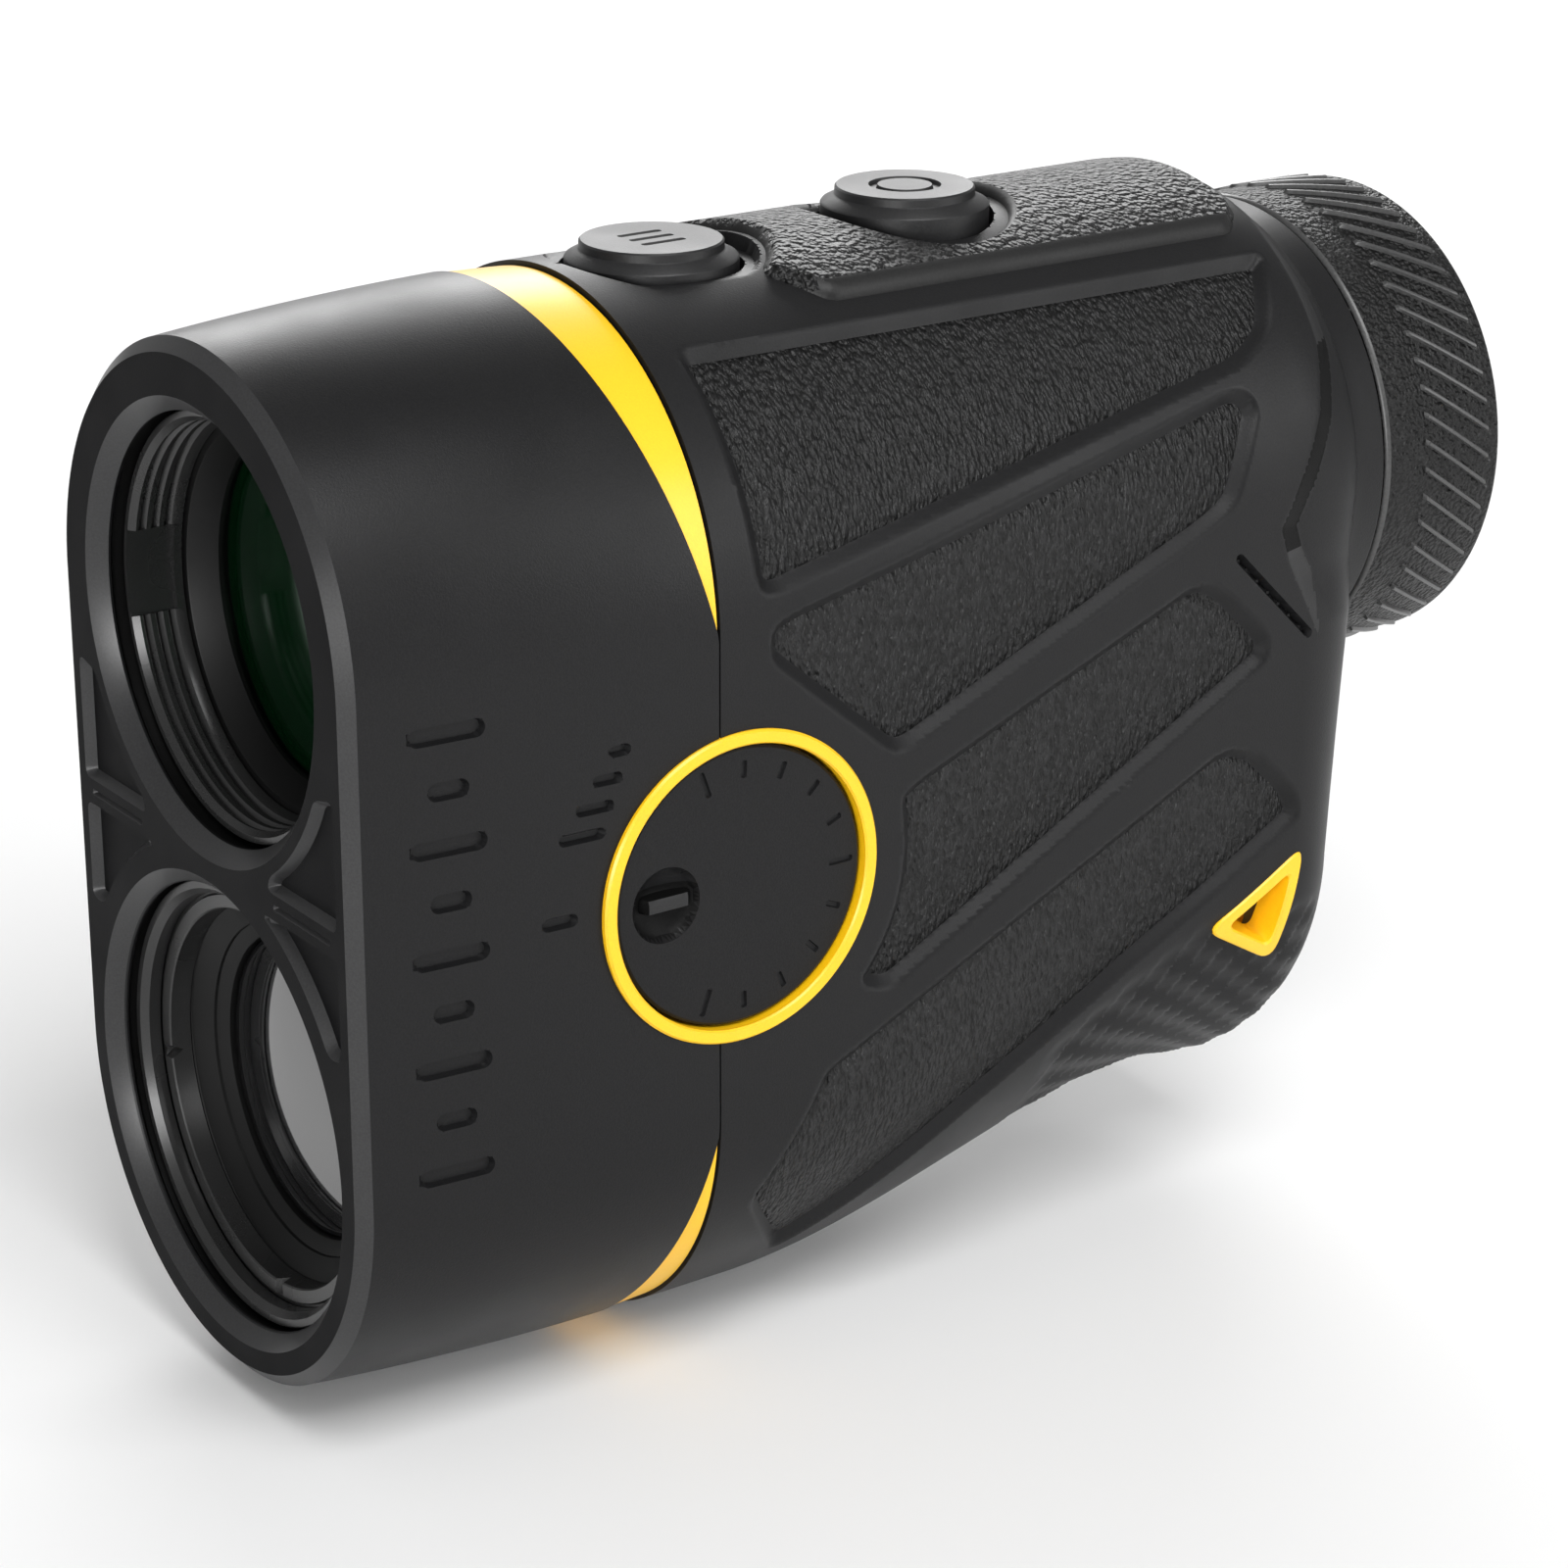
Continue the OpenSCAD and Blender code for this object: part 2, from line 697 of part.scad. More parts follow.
// Stepped round button with a flange that holds it under the housing
module button(y, seat, top, mark) {
    flange_top = seat - 1.5;
    color(grain_black) difference() {
        union() {
            translate([0, y, top - 0.7]) cylinder(r = button_r, h = 0.7);
            translate([0, y, top - 1.1]) cylinder(r1 = skirt_r, r2 = button_r, h = 0.4);
            translate([0, y, flange_top - 0.1]) cylinder(r = skirt_r, h = top - 1.1 - flange_top + 0.1);
            translate([0, y, flange_top - 0.8]) cylinder(r = flange_r, h = 0.8);
        }
        if (mark == "ring") translate([0, y, top - 0.25]) difference() {
            cylinder(r = 2.3, h = 1);
            cylinder(r = 1.8, h = 1);
        }
        if (mark == "bars") for (x = [-1.4, 0, 1.4])
            box([x - 0.3, y - 1.6, top - 0.25], [x + 0.3, y + 1.6, top + 1]);
    }
}

module mode_button() { button(mode_y, mode_seat, upper_z + 21, "bars"); }
module power_button() { button(power_y, power_seat, upper_z + 22, "ring"); }

// Dial disc with its thumb scoop, ridge and shaft
module slope_dial() {
    disc_r = dial_ring_r - 0.9 - play;
    ridge_w = 0.9;
    color(charcoal) difference() {
        union() {
            along_x(disc_r, cup_floor + play, dial_face, dial_y, dial_z);
            along_x(dial_shaft_r, cup_back - 2, cup_floor + 1, dial_y, dial_z);
        }
        difference() {
            along_x(scoop_r, dial_face - 1, dial_face + 1, dial_y - scoop_off, dial_z);
            box([0, dial_y - scoop_off - 2, dial_z - ridge_w / 2],
                [30, dial_y - scoop_off + scoop_r + 1, dial_z + ridge_w / 2]);
        }
        along_x(1.2 + gap, cup_floor, cup_floor + 1.4, dial_y + scoop_off, dial_z);
        shaft_groove();
    }
}

// Groove in the shaft for the retaining clip
module shaft_groove() {
    difference() {
        along_x(dial_shaft_r + 1, cup_back - 1.2, cup_back - play, dial_y, dial_z);
        along_x(dial_shaft_r - 0.4, cup_back - 2, cup_back, dial_y, dial_z);
    }
}

module dial_clip() {
    color(alloy) difference() {
        along_x(dial_shaft_r + 1.2, cup_back - 1.1, cup_back - play - 0.1, dial_y, dial_z);
        along_x(dial_shaft_r - 0.4, cup_back - 2, cup_back, dial_y, dial_z);
    }
}

module dial_magnet() {
    color(alloy) along_x(1.2, cup_floor + play, cup_floor + 1.35, dial_y + scoop_off, dial_z);
}

// Turning sleeve of the diopter ring, relieved over the drive pins
module diopter_sleeve() {
    relief = ocular_travel + drive_pin_r + 0.25;
    color(dark_alloy) difference() {
        tube_y(sleeve_out, sleeve_in, ring_front, sleeve_end, upper_z);
        along_y(sleeve_in + 1.5, pin_y - relief, pin_y + relief, upper_z);
    }
}

// Rubber grip of the diopter ring
module diopter_grip() {
    color(grain_black) turned_y([
        [sleeve_out, ring_front], [grip_r - 0.3, ring_front], [grip_r - 0.15, ring_front + 0.4],
        [grip_r, overall_y - 2.3], [grip_r - 0.25, overall_y - 1.2], [grip_r - 0.9, overall_y - 0.4],
        [grip_r - 1.8, overall_y - 0.1], [sleeve_out, overall_y - 0.1]
    ], upper_z);
}

// Soft eyecup with its dish, held at the end of the sleeve
module eyecup() {
    color(grain_black) turned_y([
        [cell_r + 0.6, sleeve_end + gap], [sleeve_out - gap, sleeve_end + gap],
        [sleeve_out - gap, overall_y], [sleeve_out - 1.4, overall_y],
        [cell_r + 1.4, overall_y - 1], [cell_r + 0.6, overall_y - 1.4]
    ], upper_z);
}

// Sliding cell that carries the eyepiece glasses, with its two drive pins
module ocular_cell() {
    bore = cell_r - 1.3;
    start = pin_y - 12;
    end = sleeve_end - 0.5 - ocular_travel;
    color(dark_alloy) difference() {
        union() {
            along_y(cell_r, start, end, upper_z);
            for (side = [-1, 1]) mirrored(side)
                along_x(drive_pin_r, cell_r - 0.6, sleeve_in + 0.9, pin_y, upper_z);
        }
        along_y(bore, start + 1.2, end + 1, upper_z);
        along_y(bore - 1.2, start - 1, end, upper_z);
    }
}

module ocular_ring() {
    color(dark_alloy) tube_y(cell_r - 1.35, cell_r - 2.5, pin_y + 1.2, pin_y + 2.4, upper_z);
}

module eye_lens() {
    color(glass) difference() {
        along_y(cell_r - 1.35, pin_y - 3.6, pin_y + 1.15, upper_z);
        translate([0, pin_y + 24.5, upper_z]) sphere(r = 25);
    }
}

module field_lens() {
    color(glass) lens(cell_r - 1.35, 1, pin_y - 9.6, 3, upper_z);
}

front_shell();
trim_band_upper();
trim_band_lower();
left_housing();
right_housing();
left_pad_top();
left_pad_upper();
left_pad_middle();
left_pad_lower();
right_pad_top();
right_pad_upper();
right_pad_middle();
right_pad_lower();
top_grip_pad();
eyepiece_collar();
eyepiece_tube();
dial_ring();
lanyard_insert_left();
lanyard_insert_right();
lanyard_tube();
objective_barrel();
objective_ring();
objective_lens();
receiver_barrel();
receiver_ring();
receiver_lens();
optical_chassis();
prism_cage();
prism_front();
prism_rear();
reticle_display();
laser_module();
detector_module();
main_board();
board_components();
button_board();
button_switches();
battery_cell();
battery_tray();
usb_socket();
port_plate();
usb_hinge_pin();
front_screws();
case_screws();
mode_button();
power_button();
usb_cover();
slope_dial();
dial_clip();
dial_magnet();
diopter_sleeve();
diopter_grip();
eyecup();
ocular_cell();
ocular_ring();
eye_lens();
field_lens();
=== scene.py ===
import json
import math

import bmesh
import bpy
import numpy as np
from mathutils import Matrix, Vector
from mathutils.geometry import delaunay_2d_cdt


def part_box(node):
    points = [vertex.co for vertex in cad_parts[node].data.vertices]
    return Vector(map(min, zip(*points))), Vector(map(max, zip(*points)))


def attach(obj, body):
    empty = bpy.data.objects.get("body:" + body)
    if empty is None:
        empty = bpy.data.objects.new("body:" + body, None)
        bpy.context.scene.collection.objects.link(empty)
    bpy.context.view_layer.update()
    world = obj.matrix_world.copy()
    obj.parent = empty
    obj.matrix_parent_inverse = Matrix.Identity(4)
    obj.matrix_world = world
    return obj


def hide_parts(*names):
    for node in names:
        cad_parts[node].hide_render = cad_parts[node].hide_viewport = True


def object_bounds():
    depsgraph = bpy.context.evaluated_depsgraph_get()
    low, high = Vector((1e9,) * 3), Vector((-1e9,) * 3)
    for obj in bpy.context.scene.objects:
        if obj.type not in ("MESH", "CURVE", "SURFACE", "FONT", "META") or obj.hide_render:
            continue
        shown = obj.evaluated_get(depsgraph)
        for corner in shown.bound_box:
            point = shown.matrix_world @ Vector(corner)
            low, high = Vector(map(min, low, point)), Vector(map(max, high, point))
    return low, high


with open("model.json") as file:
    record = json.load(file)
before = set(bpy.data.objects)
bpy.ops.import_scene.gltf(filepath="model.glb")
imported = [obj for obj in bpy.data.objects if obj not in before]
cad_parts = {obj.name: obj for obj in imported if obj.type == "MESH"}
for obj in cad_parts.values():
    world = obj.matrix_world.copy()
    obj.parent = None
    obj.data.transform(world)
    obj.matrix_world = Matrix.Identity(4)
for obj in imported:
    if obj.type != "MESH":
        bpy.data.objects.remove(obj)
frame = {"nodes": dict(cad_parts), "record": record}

CAD_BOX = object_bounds()
MM = 0.001
HALF_PI = math.pi / 2


# ---------------------------------------------------------------- sizes from the frame, in millimetres
def node_mm(name):
    """Lowest and highest corner of a CAD node."""
    low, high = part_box(name)
    return np.array(low) / MM, np.array(high) / MM


SHELL_LOW, SHELL_HIGH = node_mm("front_shell")
BODY_R = SHELL_HIGH[0]
UPPER_Z = SHELL_HIGH[2] - BODY_R
LOWER_Z = SHELL_LOW[2] + BODY_R
FRONT_LEN = node_mm("trim_band_upper")[1][1]
REAR_Y = node_mm("left_housing")[1][1]
NOSE_R = 18.9
CHAMFER = 0.85
WALL = 2.2
# Underside of the housing: where it starts to rise, is highest, and how far the heel drops again
RISE = 6.8
RISE_START = 33.0
RISE_END = 70.0
HEEL_DROP = 0.9
# Rounding at the rear of the housing: its length and how far it draws in
ROUND_LEN = 6.5
ROUND_UPPER = 2.2
ROUND_LOWER = 6.0
# Pockets and pads in the sides
POCKET_DEPTH = 0.85
POCKET_BEVEL = 1.05
PAD_DEPTH = 0.66
# Dial
DIAL_LOW, DIAL_HIGH = node_mm("dial_ring")
DIAL_R = (DIAL_HIGH[1] - DIAL_LOW[1]) / 2
DIAL_Y = (DIAL_HIGH[1] + DIAL_LOW[1]) / 2
DIAL_Z = (DIAL_HIGH[2] + DIAL_LOW[2]) / 2
RING_FACE = DIAL_HIGH[0]
SCOOP_Y = DIAL_Y - 5.8
DIAL_FACE = node_mm("slope_dial")[1][0]
# Buttons
MODE_LOW, MODE_HIGH = node_mm("mode_button")
POWER_LOW, POWER_HIGH = node_mm("power_button")
MODE_Y = (MODE_LOW[1] + MODE_HIGH[1]) / 2
POWER_Y = (POWER_LOW[1] + POWER_HIGH[1]) / 2
MODE_SEAT = UPPER_Z + 19.3
POWER_SEAT = UPPER_Z + 20.2
BUTTON_R = 4.85
SKIRT_R = 5.85
SEAT_R = 7.2
SEAT_GAP = 0.35
HOLE_DROP = 3
# Eyepiece
GRIP_LOW, GRIP_HIGH = node_mm("diopter_grip")
GRIP_R = GRIP_HIGH[0]
RING_FRONT = GRIP_LOW[1]
CUP_LOW, CUP_HIGH = node_mm("eyecup")
TUBE_R = 13.3


# ---------------------------------------------------------------- outlines
def rounded(points, radius, steps=6):
    """A closed outline with each corner turned into a short curve."""
    loop = []
    count = len(points)
    for i in range(count):
        here = np.array(points[i], float)
        before = np.array(points[i - 1], float) - here
        after = np.array(points[(i + 1) % count], float) - here
        reach_b = min(radius, np.linalg.norm(before) * 0.48)
        reach_a = min(radius, np.linalg.norm(after) * 0.48)
        start = here + before / np.linalg.norm(before) * reach_b
        end = here + after / np.linalg.norm(after) * reach_a
        for k in range(steps + 1):
            s = k / steps
            loop.append((1 - s) ** 2 * start + 2 * s * (1 - s) * here + s * s * end)
    return np.array(loop)


def dense(loop, spacing):
    """The same closed outline with points no further apart than the spacing."""
    out = []
    for i in range(len(loop)):
        a, b = loop[i], loop[(i + 1) % len(loop)]
        n = max(1, int(math.ceil(np.linalg.norm(b - a) / spacing)))
        out += [a + (b - a) * k / n for k in range(n)]
    return np.array(out)


def area_sign(loop):
    x, y = loop[:, 0], loop[:, 1]
    return np.sign(np.sum(x * np.roll(y, -1) - np.roll(x, -1) * y))


def inset(loop, distance):
    """The outline moved inwards; its corners are rounder than the distance."""
    ahead = np.roll(loop, -1, axis=0) - loop
    ahead /= np.maximum(np.linalg.norm(ahead, axis=1, keepdims=True), 1e-9)
    tangent = ahead + np.roll(ahead, 1, axis=0)
    tangent /= np.maximum(np.linalg.norm(tangent, axis=1, keepdims=True), 1e-9)
    normal = np.stack([-tangent[:, 1], tangent[:, 0]], axis=1) * area_sign(loop)
    return loop + normal * distance


def circle(centre, radius, steps):
    angles = np.arange(steps) * 2 * math.pi / steps
    return np.stack([centre[0] + radius * np.cos(angles), centre[1] + radius * np.sin(angles)], axis=1)


def box(u0, u1, v0, v1):
    """The corners of a rectangle, in order."""
    return [(u0, v0), (u1, v0), (u1, v1), (u0, v1)]


def signed_distance(loop, u, v):
    """Distance to a closed outline, negative inside it."""
    best = np.full(np.shape(u), 1e9)
    inside = np.zeros(np.shape(u), bool)
    for i in range(len(loop)):
        a, b = loop[i - 1], loop[i]
        e = b - a
        length = max(float(e @ e), 1e-12)
        s = np.clip(((u - a[0]) * e[0] + (v - a[1]) * e[1]) / length, 0, 1)
        d = (u - a[0] - s * e[0]) ** 2 + (v - a[1] - s * e[1]) ** 2
        best = np.minimum(best, d)
        crosses = (a[1] > v) != (b[1] > v)
        if a[1] != b[1]:
            inside ^= crosses & (u < (b[0] - a[0]) * (v - a[1]) / (b[1] - a[1]) + a[0])
    best = np.sqrt(best)
    return np.where(inside, -best, best)


def bar_distance(u, v, centre, half_length, half_width, angle=0.0):
    """Distance to a bar with round ends that lies at an angle to the first axis."""
    c, s = math.cos(angle), math.sin(angle)
    along = (u - centre[0]) * c + (v - centre[1]) * s
    across = -(u - centre[0]) * s + (v - centre[1]) * c
    along = np.maximum(np.abs(along) - (half_length - half_width), 0)
    return np.hypot(along, across) - half_width


def ramp(d, width):
    """0 outside a shape and 1 from the given width inside it."""
    return np.clip(-d / width, 0, 1)


def smooth01(s):
    s = np.clip(s, 0, 1)
    return s * s * (3 - 2 * s)


# ---------------------------------------------------------------- mesh helpers
def joined(*parts):
    """Several (points, faces) in one."""
    points, faces, start = [], [], 0
    for p, f in parts:
        points.append(np.asarray(p, float))
        faces += [[i + start for i in face] for face in f]
        start += len(p)
    return np.concatenate(points), faces


def add_piece(name, shape, material, body, replaced=(), sharp=40.0, extra=()):
    """One visible piece from points in millimetres and faces, riding on a CAD body.

    extra: further materials, each with the faces that wear it.
    """
    points, faces = shape
    mesh = bpy.data.meshes.new(name)
    mesh.from_pydata((np.asarray(points) * MM).tolist(), [], faces)
    work = bmesh.new()
    work.from_mesh(mesh)
    bmesh.ops.recalc_face_normals(work, faces=work.faces)
    work.to_mesh(mesh)
    work.free()
    mesh.shade_smooth()
    mesh.set_sharp_from_angle(angle=math.radians(sharp))
    mesh.materials.append(material)
    for slot_index, (other, chosen) in enumerate(extra, 1):
        mesh.materials.append(other)
        for index in chosen:
            mesh.polygons[index].material_index = slot_index
    obj = bpy.data.objects.new(name, mesh)
    bpy.context.scene.collection.objects.link(obj)
    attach(obj, body)
    if replaced:
        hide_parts(*replaced)


def face_centres(shape):
    return np.array([shape[0][face].mean(axis=0) for face in shape[1]])


def face_normals(shape):
    corners = np.array([shape[0][face[:3]] for face in shape[1]])
    normals = np.cross(corners[:, 1] - corners[:, 0], corners[:, 2] - corners[:, 1])
    return normals / np.maximum(np.linalg.norm(normals, axis=1, keepdims=True), 1e-12)


def swept(points, closed):
    """A solid from rows × columns of points: the rows close into a loop, the columns too if closed."""
    rows, cols = points.shape[:2]
    index = np.arange(rows * cols).reshape(rows, cols)
    below = np.roll(index, -1, axis=0)
    if closed:
        beside, across = np.roll(index, -1, axis=1), np.roll(below, -1, axis=1)
        here = index
    else:
        beside, across = index[:, 1:], below[:, 1:]
        here, below = index[:, :-1], below[:, :-1]
    quads = np.stack([here, beside, across, below], axis=-1).reshape(-1, 4).tolist()
    if not closed:
        quads += [index[:, 0].tolist(), index[::-1, -1].tolist()]
    return points.reshape(-1, 3), quads


def turned(profile, centre, axis="y", steps=96):
    """A closed profile of (radius, distance along the axis) turned about an axis."""
    angles = np.arange(steps) * 2 * math.pi / steps
    r = np.array([p[0] for p in profile], float)[:, None]
    a = np.array([p[1] for p in profile], float)[:, None] + 0 * angles
    u, v = r * np.cos(angles), r * np.sin(angles)
    if axis == "y":
        grid = np.stack([centre[0] + u, a, centre[1] + v], axis=-1)
    elif axis == "x":
        grid = np.stack([a, centre[0] + u, centre[1] + v], axis=-1)
    else:
        grid = np.stack([centre[0] + u, centre[1] + v, a], axis=-1)
    return swept(grid, True)


def relief(outer, holes, contours, spacing, depth, place, thickness):
    """A plate over an outline, sunk by depth(u, v) and put in space by place(u, v, d).

    Its edges run exactly along the contours, which are where the depth bends.
    """
    loops = [outer] + list(holes) + list(contours)
    low, high = outer.min(0), outer.max(0)
    us = np.arange(low[0], high[0], spacing) + spacing / 2
    vs = np.arange(low[1], high[1], spacing) + spacing / 2
    gu, gv = (g.ravel() for g in np.meshgrid(us, vs))
    keep = signed_distance(outer, gu, gv) < -spacing * 0.55
    for loop in holes:
        keep &= signed_distance(loop, gu, gv) > spacing * 0.55
    for loop in contours:
        keep &= np.abs(signed_distance(loop, gu, gv)) > spacing * 0.45
    flat = [Vector(p) for loop in loops for p in loop] + [Vector(p) for p in zip(gu[keep], gv[keep])]
    edges, start = [], 0
    for loop in loops:
        n = len(loop)
        edges += [(start + i, start + (i + 1) % n) for i in range(n)]
        start += n
    found = delaunay_2d_cdt(flat, edges, [], 0, 1e-6, False)
    pts = np.array([tuple(p) for p in found[0]])
    tris = np.array(found[2])
    mid = pts[tris].mean(axis=1)
    inside = signed_distance(outer, mid[:, 0], mid[:, 1]) < 0
    for loop in holes:
        inside &= signed_distance(loop, mid[:, 0], mid[:, 1]) > 0
    tris = tris[inside]
    sunk = depth(pts[:, 0], pts[:, 1])
    top = place(pts[:, 0], pts[:, 1], sunk)
    base = place(pts[:, 0], pts[:, 1], sunk * 0 + thickness)
    n = len(pts)
    sides = {}
    for a, b, c in tris.tolist():
        for e in ((a, b), (b, c), (c, a)):
            sides[e] = e
    rim = [e for e in sides if (e[1], e[0]) not in sides]
    faces = tris.tolist() + (tris[:, ::-1] + n).tolist() + [[b, a, a + n, b + n] for a, b in rim]
    return np.concatenate([top, base]), faces


def level(u, v):
    """The depth of a plate that is flat."""
    return 0 * u


# ---------------------------------------------------------------- the body's outer surface
def nose_shape(y):
    """Upper radius, lower radius and height of the lower centre of the front shell."""
    r = BODY_R - (BODY_R - NOSE_R) * (1 - np.clip(y / FRONT_LEN, 0, 1)) ** 2
    return r, r, LOWER_Z + 0 * y


def housing_shape(y):
    """Upper radius, lower radius and height of the lower centre of the rear housing."""
    drawn = 1 - np.sqrt(1 - np.clip((y - REAR_Y + ROUND_LEN) / ROUND_LEN, 0, 1) ** 2)
    rise = RISE * smooth01((y - RISE_START) / (RISE_END - RISE_START))
    rise = rise - HEEL_DROP * smooth01((y - RISE_END) / 10)
    return BODY_R - ROUND_UPPER * drawn, BODY_R - ROUND_LOWER * drawn, LOWER_Z + rise


def unroll(y, z, shape):
    """Height along the skin of a point of the +X side that lies at height z."""
    upper, lower, low_z = shape(np.asarray(y, float))
    up = UPPER_Z + upper * np.arcsin(np.clip((z - UPPER_Z) / upper, 0, 1))
    down = low_z - lower * np.arcsin(np.clip((low_z - z) / lower, 0, 1))
    return np.where(z > UPPER_Z, up, np.where(z < low_z, down, z))


def wrap(y, t, depth, shape, side=1.0):
    """The point at distance y and height t along the skin, sunk by depth."""
    upper, lower, low_z = shape(y)
    angle = np.where(t > UPPER_Z, (t - UPPER_Z) / upper, np.where(t < low_z, (t - low_z) / lower, 0.0))
    weight = np.clip((UPPER_Z - t) / (UPPER_Z - low_z), 0, 1)
    r = upper + (lower - upper) * weight - depth
    middle = np.clip(t, low_z, UPPER_Z)
    return np.stack([side * r * np.cos(angle), y + 0 * r, middle + r * np.sin(angle)], axis=-1)


def columns(arc_count, side_count):
    """Columns of one half from the top to the underside: which stretch, and how far along it."""
    kind = np.array([0] * arc_count + [1] * side_count + [2] * (arc_count + 1))
    share = np.concatenate([
        1 - np.arange(arc_count) / arc_count,
        np.arange(side_count) / side_count,
        np.arange(arc_count + 1) / arc_count,
    ])
    return kind, share


def column_heights(y, cols, shape):
    kind, share = cols
    upper, lower, low_z = shape(y)
    return np.select(
        [kind == 0, kind == 1],
        [UPPER_Z + upper * HALF_PI * share, UPPER_Z + (low_z - UPPER_Z) * share],
        low_z - lower * HALF_PI * share,
    )


def snap(y, t, distance, level, reach):
    """Moves the grid's points that lie close to a contour onto it, so that its edge is clean."""
    d = distance(y, t) - level
    near = np.abs(d) < reach
    near[[0, -1]] = False
    near[:, [0, -1]] = False
    yn, tn, step = y[near], t[near], 0.02
    if not len(yn):
        return
    gy = (distance(yn + step, tn) - distance(yn - step, tn)) / (2 * step)
    gt = (distance(yn, tn + step) - distance(yn, tn - step)) / (2 * step)
    size = np.maximum(gy * gy + gt * gt, 0.5)
    y[near] = yn - d[near] * gy / size
    t[near] = tn - d[near] * gt / size


# ---------------------------------------------------------------- side panels
DIAL_CLEAR = DIAL_R + 2.4
DIAL_ARC = [
    (DIAL_Y + DIAL_CLEAR * math.cos(math.radians(a)), DIAL_Z + DIAL_CLEAR * math.sin(math.radians(a)))
    for a in range(-45, 16, 10)
]
PAD_OUTLINES = {
    "top": [(28.9, 33.4), (29.5, 19.6), (30.6, 18.8), (72.5, 27.2), (75.8, 28.9), (79, 33.2)],
    "upper": [
        (30.3, 14.6), (30.3, 16.5), (31.4, 17.5), (71.2, 26.1), (72.9, 24.7),
        (69.7, 18.1), (67.3, 16.8), (41.7, 6.1), (40.3, 6.2),
    ],
    "middle": [
        (42.4, 4), (66.4, 13.4), (68.7, 12.7), (73.2, 8.4), (73.4, 7), (72.8, 6), (40.3, -10.9),
    ] + DIAL_ARC,
    "lower": [
        (35.1, -15.2), (69.6, 0.6), (72.5, -0.1), (76.4, -3.9), (77, -5.5), (76.9, -6.4),
        (62.1, -14.3), (48.7, -22.4), (34.7, -31.1), (31.2, -26.8), (29.7, -24.3), (34.5, -16.3),
    ],
}


def pad_loop(key):
    """A panel's outline in distance and height along the skin."""
    corners = [(y, float(unroll(y, z, housing_shape))) for y, z in PAD_OUTLINES[key]]
    return rounded(corners, 1.3)


PAD_LOOPS = {key: pad_loop(key) for key in PAD_OUTLINES}


# ---------------------------------------------------------------- rear housing
CREASE_POINTS = [
    (81.0, 36.4), (80.0, 33.3), (79.8, 30.5), (79.5, 27.5),
    (78.0, 23.2), (73.9, 15.8), (74.8, 13.2), (78.0, 7.2),
]
CREASE_DEPTH = 0.62
CREASE_WIDTH = 1.8


def crease_loop(points):
    """The area behind the crease, closed far above the housing and behind it."""
    return np.array([(81.6, 60)] + points + [(86, 6.0), (86, 60)], float)


CREASE_LOOP = crease_loop([(y, float(unroll(y, z, housing_shape))) for y, z in CREASE_POINTS])
EYE_LOOP = dense(rounded([(77.6, -8.5), (68.8, -13.4), (75.9, -17.6)], 1.5, 6), 0.5)
EYE_MIDDLE = np.array([74.35, -13.5])
EYE_INRADIUS = 2.6
SLIT_A = (69.9, 14.6)
SLIT_B = (77.2, 7.4)
SLIT_HALF_WIDTH = 0.36


def crease_distance(y, t):
    return signed_distance(CREASE_LOOP, y, t)


def slit_distance(y, t):
    middle = ((SLIT_A[0] + SLIT_B[0]) / 2, (SLIT_A[1] + SLIT_B[1]) / 2)
    along = (SLIT_B[0] - SLIT_A[0], SLIT_B[1] - SLIT_A[1])
    angle = math.atan2(along[1], along[0])
    return bar_distance(y, t, middle, math.hypot(*along) / 2, SLIT_HALF_WIDTH, angle)


def scales(y, t):
    """The overlapping scales under the heel."""
    _, lower, low_z = housing_shape(y)
    edge = low_z - 2.0 - 0.35 * np.clip(70 - y, 0, 20)
    under = smooth01((edge - t) / 2.5)
    along = smooth01((y - 55) / 3) * smooth01((81 - y) / 2)
    across = t - (low_z - lower * HALF_PI)
    phase = (y - 0.6 * np.abs(across)) / 2.3
    row = phase - np.floor(phase)
    cross = (across + 1.2 * np.floor(phase)) / 2.4
    tile = np.abs(cross - np.floor(cross) - 0.5)
    return (0.3 * (1 - row) + 0.3 * tile) * under * along


def seat_distance(centre_y, radius):
    def distance(y, t):
        p = wrap(y, t, 0.0, housing_shape)
        return np.hypot(p[..., 0], y - centre_y) - radius
    return distance


